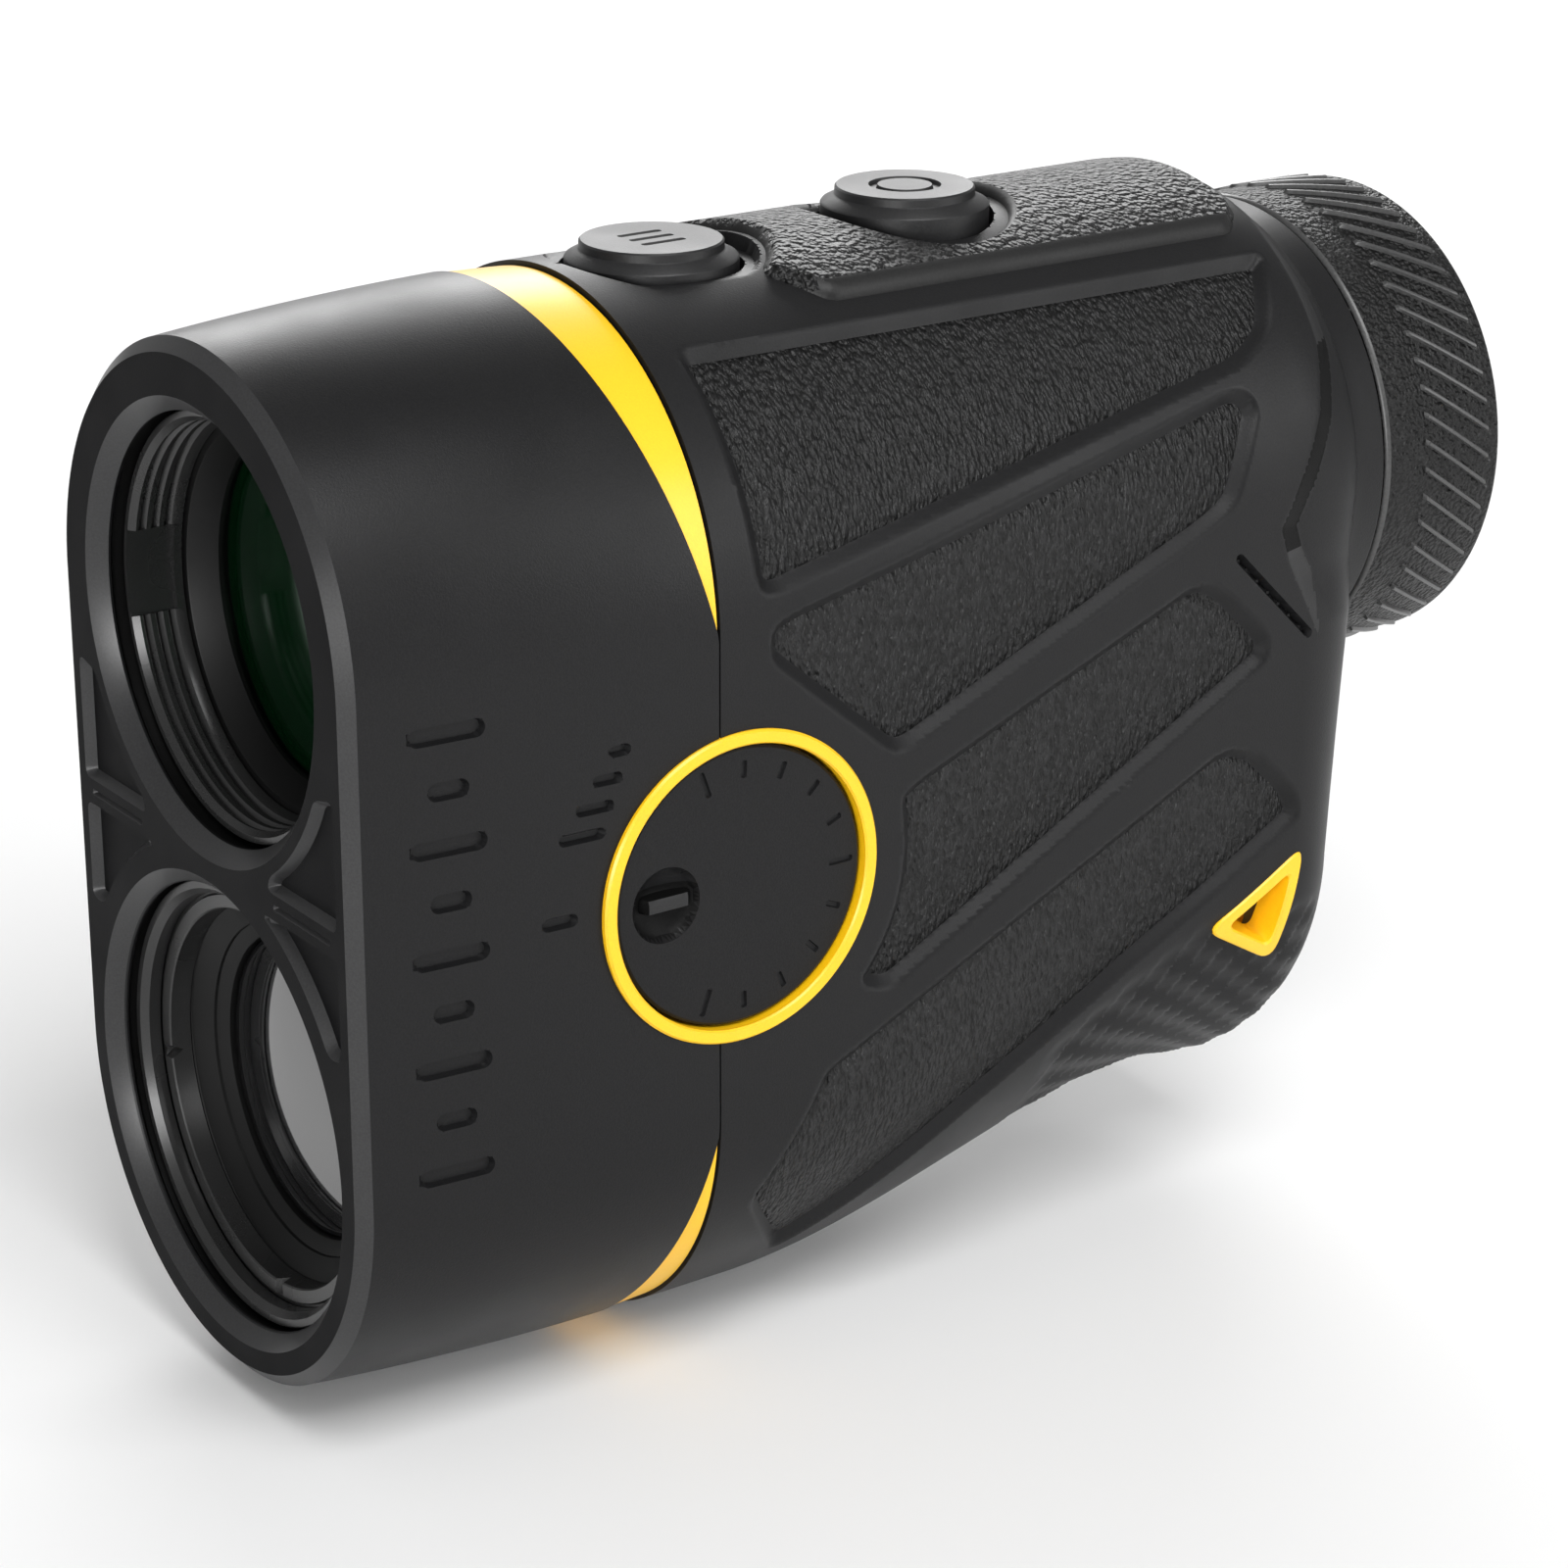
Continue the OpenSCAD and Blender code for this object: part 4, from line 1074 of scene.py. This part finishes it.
def receiver_ring():
    """A thin ring and the slotted flat ring behind it."""
    r = RECEIVER_R
    front = [
        (r, 3.2), (r, 1.95), (r - 0.1, 1.85), (r - 0.6, 1.85), (r - 1.0, 2.35), (r - 1.02, 3.2),
    ]
    thin = turned(front, (0, LOWER_Z), steps=160)
    radii = (r, r, 14.15, 14.1, 14.0, 13.15, 13.05, 13.0)
    plain = list(zip(radii, (4.8, 3.4, 3.4, 3.3, 3.2, 3.25, 3.35, 4.8)))
    cut = list(zip(radii, (4.8, 3.4, 3.41, 3.5, 4.1, 4.1, 4.15, 4.8)))
    slotted = []
    for k in range(180):
        angle = 2.0 * k
        profile = cut if in_notch(angle, RECEIVER_SLOTS) else plain
        slotted.append((math.radians(angle), profile))
    return joined(thin, angled(slotted, LOWER_Z))


# ---------------------------------------------------------------- lanyard eye and port
EYE_DEPTH = 3.3
CORD_HOLE = (74.1, -13.2)
CORD_HOLE_R = 1.3


def lanyard_insert(side):
    """The triangular insert with its rim, sloping walls and floor."""
    steps = [
        (0, 1.2), (0, -0.02), (0.1, -0.15), (0.82, -0.15), (0.94, 0.0),
        (1.1, EYE_DEPTH - 0.3), (1.2, EYE_DEPTH),
    ]
    rows = []
    for width, depth in steps:
        loop = EYE_MIDDLE + (EYE_LOOP - EYE_MIDDLE) * (1 - width / EYE_INRADIUS)
        t = unroll(loop[:, 0], loop[:, 1], housing_shape)
        rows.append(wrap(loop[:, 0], t, depth, housing_shape, side))
    n = len(EYE_LOOP)
    points = np.concatenate(rows)
    index = np.arange(len(points)).reshape(len(steps), n)
    faces = []
    for k in range(len(steps) - 1):
        for i in range(n):
            j = (i + 1) % n
            quad = (index[k, i], index[k, j], index[k + 1, j], index[k + 1, i])
            faces.append([int(corner) for corner in quad])
    hole = circle(CORD_HOLE, CORD_HOLE_R, 32)
    x_floor = abs(rows[-1][:, 0].mean())

    def place(u, v, d):
        return np.stack([side * (x_floor - d), u, v], axis=-1)

    floor = EYE_MIDDLE + (EYE_LOOP - EYE_MIDDLE) * 0.58
    plate = relief(floor, [hole], [], 0.8, level, place, 1.1)
    return joined((points, faces), plate)


def port_flap():
    """The rubber cover with rounded corners, a finger lip, its knuckle and plug."""
    low, high = node_mm("usb_cover")
    w = high[0]
    z0, z1 = low[2] + 1.05, high[2]
    face = high[1]
    outline = dense(rounded(box(-w, w, z0, z1), 1.4, 6), 0.5)
    panel = dense(rounded(box(-w + 1.6, w - 1.6, z0 + 1.7, z1 - 2.2), 1.0, 5), 0.4)
    lip = dense(rounded(box(-2.6, 2.6, z1 - 1.5, z1 - 0.7), 0.4, 4), 0.4)

    def depth(u, v):
        edge = -signed_distance(outline, u, v)
        total = 0.3 * (1 - smooth01(edge / 0.4))
        total = total + 0.22 * ramp(signed_distance(panel, u, v), 0.2)
        return total + 0.4 * ramp(signed_distance(lip, u, v), 0.25)

    def place(u, v, d):
        return np.stack([u, face - d, v], axis=-1)

    contours = [inset(outline, 0.4), panel, inset(panel, 0.2), lip, inset(lip, 0.2)]
    plate = relief(outline, [], contours, 0.5, depth, place, 1.45)
    knuckle = turned(box(0.56, 1.05, -w + 0.02, w - 0.02), (REAR_Y - 0.75, z0), "x", 40)
    port_z = (z0 + z1) / 2 - 0.5
    plug_low, plug_high = low[1], face - 1.4
    plug_loop = rounded(box(-3.8, 3.8, port_z - 0.75, port_z + 0.75), 0.7, 5)

    def place_plug(u, v, d):
        return np.stack([u, plug_low + d, v], axis=-1)

    plug = relief(dense(plug_loop, 0.5), [], [], 1.0, level, place_plug, plug_high - plug_low)
    return joined(plate, knuckle, plug)


# ---------------------------------------------------------------- materials
def start_material(name, colour, roughness, **values):
    """A Principled material with its values set on the shader; returns it with its nodes."""
    material = bpy.data.materials.new(name)
    material.use_nodes = True
    tree = material.node_tree
    shader = tree.nodes["Principled BSDF"]
    shader.inputs["Base Color"].default_value = (*colour, 1.0)
    shader.inputs["Roughness"].default_value = roughness
    for key, value in values.items():
        shader.inputs[key.replace("_", " ")].default_value = value
    return material, tree, shader


def coordinates(tree, scale):
    """Object coordinates in millimetres, scaled per axis."""
    source = tree.nodes.new("ShaderNodeTexCoord")
    mapping = tree.nodes.new("ShaderNodeMapping")
    mapping.inputs["Scale"].default_value = tuple(s / MM for s in scale)
    tree.links.new(source.outputs["Object"], mapping.inputs["Vector"])
    return mapping.outputs["Vector"]


def noise_node(tree, vector, scale, detail=2.0, roughness=0.5):
    node = tree.nodes.new("ShaderNodeTexNoise")
    node.inputs["Scale"].default_value = scale
    node.inputs["Detail"].default_value = detail
    node.inputs["Roughness"].default_value = roughness
    tree.links.new(vector, node.inputs["Vector"])
    return node.outputs["Fac"]


def ramp_node(tree, source, stops):
    """A colour ramp between two (position, colour) stops."""
    node = tree.nodes.new("ShaderNodeValToRGB")
    for index, (place, colour) in enumerate(stops):
        node.color_ramp.elements[index].position = place
        node.color_ramp.elements[index].color = (*colour, 1)
    tree.links.new(source, node.inputs["Fac"])
    return node.outputs["Color"]


def range_node(tree, source, low, high):
    """The middle of a noise's range, spread from low to high."""
    node = tree.nodes.new("ShaderNodeMapRange")
    node.inputs["From Min"].default_value = 0.3
    node.inputs["From Max"].default_value = 0.7
    node.inputs["To Min"].default_value = low
    node.inputs["To Max"].default_value = high
    tree.links.new(source, node.inputs["Value"])
    return node.outputs["Result"]


def bump_node(tree, shader, height, distance_mm):
    node = tree.nodes.new("ShaderNodeBump")
    node.inputs["Strength"].default_value = 1.0
    node.inputs["Distance"].default_value = distance_mm * MM
    tree.links.new(height, node.inputs["Height"])
    tree.links.new(node.outputs["Normal"], shader.inputs["Normal"])


def satin(name, dark, light, roughness, grain=7.0, bump=0.012, **values):
    """Moulded plastic with a fine spray texture."""
    material, tree, shader = start_material(name, dark, roughness, **values)
    vector = coordinates(tree, (1, 1, 1))
    fine = noise_node(tree, vector, grain, 3.0, 0.6)
    broad = noise_node(tree, vector, 0.12, 2.0)
    tree.links.new(ramp_node(tree, fine, [(0.35, dark), (0.7, light)]), shader.inputs["Base Color"])
    tree.links.new(range_node(tree, broad, roughness - 0.04, roughness + 0.05), shader.inputs["Roughness"])
    bump_node(tree, shader, fine, bump)
    return material


def leather(name, stretch, dark, light, roughness=0.42, depth=0.45):
    """Rubber with a leather-like grain, drawn out along one axis."""
    material, tree, shader = start_material(name, dark, roughness, Specular_IOR_Level=0.34)
    vector = coordinates(tree, stretch)
    wave = noise_node(tree, vector, 1.5, 2.0, 0.5)
    cells = tree.nodes.new("ShaderNodeTexVoronoi")
    cells.feature = "SMOOTH_F1"
    cells.inputs["Scale"].default_value = 2.1
    cells.inputs["Smoothness"].default_value = 0.6
    tree.links.new(vector, cells.inputs["Vector"])
    mix = tree.nodes.new("ShaderNodeMath")
    mix.operation = "MULTIPLY_ADD"
    mix.inputs[1].default_value = -0.55
    tree.links.new(cells.outputs["Distance"], mix.inputs[0])
    tree.links.new(wave, mix.inputs[2])
    height = mix.outputs["Value"]
    tree.links.new(ramp_node(tree, height, [(0.1, dark), (0.42, light)]), shader.inputs["Base Color"])
    bump_node(tree, shader, height, depth)
    return material


def paint(name, base, light, roughness):
    material, tree, shader = start_material(name, base, roughness, Coat_Weight=0.25, Coat_Roughness=0.25)
    vector = coordinates(tree, (1, 1, 1))
    fine = noise_node(tree, vector, 8.0, 2.0)
    tree.links.new(ramp_node(tree, fine, [(0.35, base), (0.7, light)]), shader.inputs["Base Color"])
    bump_node(tree, shader, fine, 0.006)
    return material


def metal(name, base, light, roughness, turned_marks=True):
    material, tree, shader = start_material(name, base, roughness, Metallic=1.0)
    vector = coordinates(tree, (1, 6 if turned_marks else 1, 1))
    fine = noise_node(tree, vector, 3.0, 4.0, 0.65)
    tree.links.new(ramp_node(tree, fine, [(0.3, base), (0.75, light)]), shader.inputs["Base Color"])
    tree.links.new(range_node(tree, fine, roughness - 0.06, roughness + 0.1), shader.inputs["Roughness"])
    bump_node(tree, shader, fine, 0.01)
    return material


def coated_glass(name, body, edge, tint, ior, roughness):
    """Nearly black glass whose coating colours what it reflects; its base colour turns lighter towards
    grazing angles, a painted sheen.
    """
    material, tree, shader = start_material(name, body, roughness, IOR=ior)
    shader.inputs["Specular Tint"].default_value = (*tint, 1.0)
    weight = tree.nodes.new("ShaderNodeLayerWeight")
    weight.inputs["Blend"].default_value = 0.35
    # Base colour lighter where the surface turns away from the view: painted sheen.
    sheen_colours = ramp_node(tree, weight.outputs["Facing"], [(0.0, body), (1.0, edge)])
    tree.links.new(sheen_colours, shader.inputs["Base Color"])
    return material


def clear_glass(name, tint):
    """Glass that lets the light through, with the faintest cloudiness."""
    material, tree, shader = start_material(name, tint, 0.02, IOR=1.5, Transmission_Weight=0.9)
    vector = coordinates(tree, (1, 1, 1))
    cloud = noise_node(tree, vector, 0.3)
    tree.links.new(range_node(tree, cloud, 0.015, 0.03), shader.inputs["Roughness"])
    return material


def board(name, base, light):
    """Circuit board with faint traces."""
    material, tree, shader = start_material(name, base, 0.4, Coat_Weight=0.5)
    vector = coordinates(tree, (1, 1, 1))
    cells = tree.nodes.new("ShaderNodeTexBrick")
    cells.inputs["Scale"].default_value = 0.5
    cells.inputs["Color1"].default_value = (*base, 1)
    cells.inputs["Color2"].default_value = (*base, 1)
    cells.inputs["Mortar"].default_value = (*light, 1)
    tree.links.new(vector, cells.inputs["Vector"])
    tree.links.new(cells.outputs["Color"], shader.inputs["Base Color"])
    return material


def grey(value, more_blue=0.0):
    """A grey, or one with a little more blue."""
    return (value, value, value + more_blue)


SHELL = satin("shell_satin", grey(0.0055, 0.0005), grey(0.009, 0.0005), 0.38, Specular_IOR_Level=0.24)
HOUSING = satin("housing_satin", grey(0.007, 0.0005), grey(0.011, 0.0005), 0.42, Specular_IOR_Level=0.22)
# Matt finish for the nose's flat face, with a colour darker than the shell's: painted shade.
NOSE_MATT_PAINTED_SHADE = satin("nose_matt_painted_shade", (0.003, 0.003, 0.0033), grey(0.006, 0.0005), 0.6, Specular_IOR_Level=0.08)
# Polish for the nose chamfer and aperture bevels, with a colour about three times lighter than the shell's:
# a painted highlight.
EDGE_POLISH_PAINTED_HIGHLIGHT = satin(
    "edge_polish_painted_highlight", (0.02, 0.02, 0.0205), (0.03, 0.03, 0.031), 0.33, bump=0.004, Specular_IOR_Level=0.4,
)
# Near-black colour for the crease's bend and the scoop's hollows: painted shade.
PAINTED_SHADE = satin("painted_crease_and_scoop_shade", grey(0.0015), grey(0.0035), 0.55, Specular_IOR_Level=0.13)
# Lighter colour with a little polish for the crease's ends and the scoop's ridge: a painted highlight.
POLISH_PAINTED_HIGHLIGHT = satin(
    "crease_and_scoop_polish_painted_highlight", (0.014, 0.014, 0.0145), (0.02, 0.02, 0.0205), 0.38, bump=0.006, Specular_IOR_Level=0.3,
)
YELLOW = paint("trim_yellow", (0.95, 0.52, 0.004), (0.97, 0.56, 0.006), 0.42)
GRAIN = leather("grained_rubber", (1.0, 1.9, 0.85), grey(0.001), (0.012, 0.012, 0.0125))
TOP_GRAIN = leather("grained_rubber_top", (1.15, 1.15, 1.15), grey(0.001), (0.012, 0.012, 0.0125))
RING_GRAIN = leather(
    "grained_rubber_ring", (1.4, 1.4, 1.4), grey(0.001), (0.006, 0.006, 0.0062), 0.46, 0.4,
)
SOFT = satin("soft_rubber", grey(0.006), grey(0.011), 0.5, 5.0, 0.015, Specular_IOR_Level=0.35)
# Colour far lighter than the ring's grain, for the ribs and the ring's front edge: a painted highlight.
RIB_PAINTED_HIGHLIGHT = satin("rib_rubber_painted_highlight", grey(0.045), grey(0.07), 0.3, 5.0, 0.008)
BUTTON = satin("button_rubber", grey(0.006, 0.0005), grey(0.011, 0.0005), 0.45, 6.0, 0.012)
DISC = satin("dial_satin", grey(0.006, 0.0005), grey(0.01, 0.0005), 0.42, Specular_IOR_Level=0.2)
BARREL = satin("barrel_black", grey(0.002), grey(0.004), 0.45, 9.0, 0.003, Specular_IOR_Level=0.25)
RING_BLACK = satin("ring_black", grey(0.014), grey(0.022), 0.28, 9.0, 0.003)
GREEN_GLASS = coated_glass(
    "coated_glass", (0.0007, 0.0075, 0.002), (0.001, 0.01, 0.003), (0.05, 0.6, 0.2), 1.4, 0.12,
)
CLEAR_RECEIVER = coated_glass(
    "receiver_glass", (0.003, 0.003, 0.0032), (0.01, 0.01, 0.0105), (1, 1, 1), 2.6, 0.04,
)
CLEAR_GLASS = clear_glass("clear_glass", (0.75, 0.8, 0.85))
CAST = metal("cast_alloy", (0.32, 0.33, 0.34), (0.42, 0.43, 0.44), 0.42, False)
BARE = metal("bare_alloy", (0.55, 0.56, 0.57), (0.68, 0.68, 0.69), 0.3)
STEEL = metal("screw_steel", (0.42, 0.42, 0.43), (0.55, 0.55, 0.56), 0.28)
BOARD = board("board_green", (0.006, 0.07, 0.03), (0.03, 0.16, 0.08))
CHIP = satin("chip_black", grey(0.01), grey(0.02), 0.5)
CELL = satin("cell_wrap", (0.04, 0.09, 0.22), (0.06, 0.13, 0.28), 0.35, 1.0, 0.01)
INNER = satin("inner_plastic", (0.05, 0.05, 0.055), (0.08, 0.08, 0.085), 0.5)

SLOT_MATERIALS = {
    "shell_satin": SHELL, "housing_satin": HOUSING, "trim_yellow": YELLOW, "grained_rubber": GRAIN,
    "soft_rubber": SOFT, "button_rubber": BUTTON, "dial_satin": DISC, "barrel_black": BARREL,
    "coated_glass": GREEN_GLASS, "receiver_glass": CLEAR_RECEIVER, "clear_glass": CLEAR_GLASS,
    "cast_alloy": CAST, "bare_alloy": BARE, "screw_steel": STEEL, "board_green": BOARD,
    "chip_black": CHIP, "cell_wrap": CELL, "inner_plastic": INNER,
}


def paint_cad_nodes():
    """Gives every CAD node the material of its slot in the record."""
    slot_of = {part["node"]: part["material_slot"] for part in frame["record"]["subparts"]}
    for name, obj in frame["nodes"].items():
        material = SLOT_MATERIALS[slot_of[name]]
        obj.data.materials.clear()
        obj.data.materials.append(material)


# ---------------------------------------------------------------- the pieces
def finishes(*pairs):
    """Materials with the indices of the faces that wear them, from (material, mask) pairs."""
    return [(material, np.nonzero(mask)[0].tolist()) for material, mask in pairs]


def nose_matt_and_painted_light(shape):
    """The matt flat face, darkened with painted shade, and the polished bevels around it, lightened with a
    painted highlight.
    """
    centres = face_centres(shape)
    flat = np.abs(face_normals(shape)[:, 1]) > 0.93
    front = centres[:, 1] < BORE_BEVEL + 0.1
    near_bore = np.hypot(*side_reach(centres)) < UPPER_BORE + BORE_BEVEL + 0.1
    slanted = (centres[:, 1] < CHAMFER - 0.01) | near_bore
    return finishes((NOSE_MATT_PAINTED_SHADE, front & flat), (EDGE_POLISH_PAINTED_HIGHLIGHT, front & ~flat & slanted))


def side_reach(centres):
    """Across and up from the nearer of the two apertures."""
    middle = np.where(centres[:, 2] > (UPPER_Z + LOWER_Z) / 2, UPPER_Z, LOWER_Z)
    return centres[:, 0], centres[:, 2] - middle


def crease_painted_light(shape):
    """The facet of the crease: painted shade in its bend, and a painted highlight with a little polish at
    its ends.
    """
    centres = face_centres(shape)
    reach = signed_distance(crease_loop(CREASE_POINTS), centres[:, 1], centres[:, 2])
    height = centres[:, 2]
    width = CREASE_WIDTH * np.clip((height - 7.2) / 5, 0, 1) * np.clip((38 - height) / 8, 0.1, 1)
    facet = (reach < 0) & (reach > -width) & (np.abs(centres[:, 0]) > 4)
    bend = facet & (height > 14) & (height < 27.5)
    ends = facet & ~bend & (height > 7.5) & (height < 36)
    return finishes((PAINTED_SHADE, bend), (POLISH_PAINTED_HIGHLIGHT, ends))


def build_body():
    front = joined(without(front_skin(), under_dial), nose_plate())
    # The nose gets painted shade on its flat face and a painted highlight on its bevels.
    finish_and_painted_light = nose_matt_and_painted_light(front)
    add_piece("front_shell_skin", front, SHELL, "body", ["front_shell"], 32, finish_and_painted_light)
    add_piece("aperture_liners", aperture_liners(), BARREL, "body")
    add_piece("upper_trim_band", trim_band(True), YELLOW, "body", ["trim_band_upper"])
    add_piece("lower_trim_band", trim_band(False), YELLOW, "body", ["trim_band_lower"])
    for side, name in ((1, "left_housing"), (-1, "right_housing")):
        shape, edge = housing_half(side)
        shape = without(shape, under_eye)
        if side > 0:
            shape = without(shape, under_dial)
        shape = joined(shape, rear_wall(edge, side))
        # The crease gets painted shade in its bend and a painted highlight at its ends.
        finish_and_painted_light = crease_painted_light(shape)
        add_piece(name + "_skin", shape, HOUSING, "body", [name], 50, finish_and_painted_light)
    for side, word in ((1, "left"), (-1, "right")):
        for key in PAD_OUTLINES:
            node = word + "_pad_" + key
            add_piece(node + "_grained", side_pad(key, side), GRAIN, "body", [node], 60)
    pad = top_pad()
    middles = face_centres(pad)
    smooth = (np.abs(middles[:, 0]) > TOP_PAD_W - 0.95) | (middles[:, 1] > TOP_PAD_END - 0.85)
    smooth |= np.hypot(middles[:, 0], middles[:, 1] - POWER_Y) < SEAT_R + 0.45
    smooth |= np.hypot(middles[:, 0], middles[:, 1] - MODE_Y) < SEAT_R + 0.85
    finish_and_painted_light = finishes((SOFT, smooth))
    add_piece("top_pad_grained", pad, TOP_GRAIN, "body", ["top_grip_pad"], 60, finish_and_painted_light)
    add_piece("collar_turned", collar(), HOUSING, "body", ["eyepiece_collar"])


def scoop_painted_light(shape):
    """The thumb scoop: painted shade under its ridge and in the slot above it, and a painted highlight with
    a little polish on the ridge.
    """
    centres = face_centres(shape)
    sunk = DIAL_FACE - centres[:, 0]
    along, up = centres[:, 1] - SCOOP_Y, centres[:, 2] - DIAL_Z
    inside = (np.hypot(along, up) < 2.5) & (sunk < 1.3)
    ridge = inside & (sunk < 0.25) & (np.abs(up) < 0.6)
    shaded = inside & ~ridge & (sunk > 0.2) & ((up < 0) | ((up < 1.05) & (along > -2.0)))
    return finishes((PAINTED_SHADE, shaded), (POLISH_PAINTED_HIGHLIGHT, ridge))


def build_dial():
    add_piece("dial_ring_turned", dial_ring(), YELLOW, "body", ["dial_ring"])
    disc = dial_disc()
    # The scoop's hollows get painted shade and its ridge a painted highlight.
    add_piece("dial_disc", disc, DISC, "dial", ["slope_dial"], 25, scoop_painted_light(disc))


def build_buttons():
    mode = button(MODE_Y, MODE_LOW, MODE_HIGH, MODE_SEAT, bar_marks(MODE_Y), False)
    power = button(POWER_Y, POWER_LOW, POWER_HIGH, POWER_SEAT, [], True)
    add_piece("mode_button_moulded", mode, BUTTON, "mode_key", ["mode_button"], 30)
    add_piece("power_button_moulded", power, BUTTON, "power_key", ["power_button"], 30)


def build_optics():
    ring = notched_ring(OBJECTIVE_R, 13.15, 2.2, 6.0, 3, UPPER_Z, ((178, 13), (-2, 13)))
    barrel = objective_barrel()
    glass = lens_shape(12.15, 1.2, 8.9, 3.9, -0.8, UPPER_Z)
    add_piece("objective_ring_threaded", ring, RING_BLACK, "body", ["objective_ring"], 25)
    add_piece("objective_barrel_turned", barrel, BARREL, "body", ["objective_barrel"], 25)
    add_piece("objective_glass", glass, GREEN_GLASS, "body", ["objective_lens"])
    ring = receiver_ring()
    barrel = receiver_barrel()
    glass = lens_shape(10.35, 1.7, 6.9, 5.4, 0.4, LOWER_Z)
    add_piece("receiver_ring_slotted", ring, RING_BLACK, "body", ["receiver_ring"], 25)
    add_piece("receiver_barrel_turned", barrel, BARREL, "body", ["receiver_barrel"], 25)
    add_piece("receiver_glass_domed", glass, CLEAR_RECEIVER, "body", ["receiver_lens"])


def build_eyepiece():
    grip, ribs = diopter_grip()
    node = ["diopter_grip"]
    # The ribs and the ring's front edge wear a far lighter colour: a painted highlight.
    add_piece("diopter_grip_ribbed", grip, RING_GRAIN, "diopter", node, 50, [(RIB_PAINTED_HIGHLIGHT, ribs)])
    add_piece("eyecup_moulded", eyecup(), SOFT, "diopter", ["eyecup"])


def build_fittings():
    for side, word in ((1, "left"), (-1, "right")):
        node = "lanyard_insert_" + word
        add_piece("lanyard_" + word, lanyard_insert(side), YELLOW, "body", [node], 30)
    add_piece("port_cover_moulded", port_flap(), SOFT, "port_flap", ["usb_cover"], 30)


# ---------------------------------------------------------------- stage, lights and camera
FLOOR_HALF = 4.0
WORLD_STRENGTH = 0.34


def direction(azimuth, elevation):
    """Unit vector that points from the object towards a camera or a light, from degrees."""
    a, e = math.radians(azimuth), math.radians(elevation)
    return Vector((math.sin(a) * math.cos(e), -math.cos(a) * math.cos(e), math.sin(e)))


def build_stage():
    floor_z = CAD_BOX[0][2]
    corners = [(x, y, floor_z) for x, y in box(-FLOOR_HALF, FLOOR_HALF, -FLOOR_HALF, FLOOR_HALF)]
    mesh = bpy.data.meshes.new("floor")
    mesh.from_pydata(corners, [], [[0, 1, 2, 3]])
    floor = bpy.data.objects.new("floor", mesh)
    bpy.context.scene.collection.objects.link(floor)
    paper = start_material("floor_paper", (0.88, 0.88, 0.88), 0.9, Specular_IOR_Level=0.1)[0]
    mesh.materials.append(paper)
    world = bpy.data.worlds.new("studio")
    world.use_nodes = True
    background = world.node_tree.nodes["Background"]
    background.inputs["Color"].default_value = (1, 1, 1, 1)
    background.inputs["Strength"].default_value = WORLD_STRENGTH
    bpy.context.scene.world = world
    bpy.context.scene.view_settings.view_transform = "Standard"


def soft_light(name, azimuth, elevation, distance, size, power):
    """A rectangular soft box aimed at the middle of the object."""
    target = Vector((0, 0.045, 0))
    back = direction(azimuth, elevation)
    data = bpy.data.lights.new(name, "AREA")
    data.shape = "RECTANGLE"
    data.size = size[0]
    data.size_y = size[1]
    data.energy = power
    light = bpy.data.objects.new(name, data)
    light.location = target + back * distance
    light.rotation_mode = "QUATERNION"
    light.rotation_quaternion = (-back).to_track_quat("-Z", "Y")
    bpy.context.scene.collection.objects.link(light)


def build_lights():
    soft_light("top_box", 80, 55, 0.7, (0.35, 0.35), 3.2)
    soft_light("front_strip", 36, 9, 0.75, (0.2, 0.22), 2.6)
    soft_light("side_strip", 128, 18, 0.8, (0.16, 0.5), 1.8)
    soft_light("rim_box", 238, 26, 0.8, (0.6, 0.3), 3.8)


CAMERA_AZIMUTH = 54.61
CAMERA_ELEVATION = 20.67
CAMERA_ROLL = 0.194
CAMERA_DISTANCE = 0.29117
CAMERA_TARGET = Vector((0.0, 0.045, -0.0033))
CAMERA_LENS = 94.03
CAMERA_SHIFT = (0.00728, 0.00133)


def build_camera():
    back = direction(CAMERA_AZIMUTH, CAMERA_ELEVATION)
    data = bpy.data.cameras.new("photo_view")
    data.lens = CAMERA_LENS
    data.sensor_width = 36.0
    data.shift_x = CAMERA_SHIFT[0]
    data.shift_y = CAMERA_SHIFT[1]
    data.clip_start = 0.01
    data.clip_end = 20.0
    camera = bpy.data.objects.new("photo_view", data)
    camera.location = CAMERA_TARGET + back * CAMERA_DISTANCE
    camera.rotation_mode = "QUATERNION"
    roll = Matrix.Rotation(math.radians(CAMERA_ROLL), 4, back)
    camera.rotation_quaternion = roll.to_quaternion() @ (-back).to_track_quat("-Z", "Y")
    bpy.context.scene.collection.objects.link(camera)
    bpy.context.scene.camera = camera


build_camera()
build_stage()
build_lights()
paint_cad_nodes()
build_body()
build_dial()
build_buttons()
build_optics()
build_eyepiece()
build_fittings()
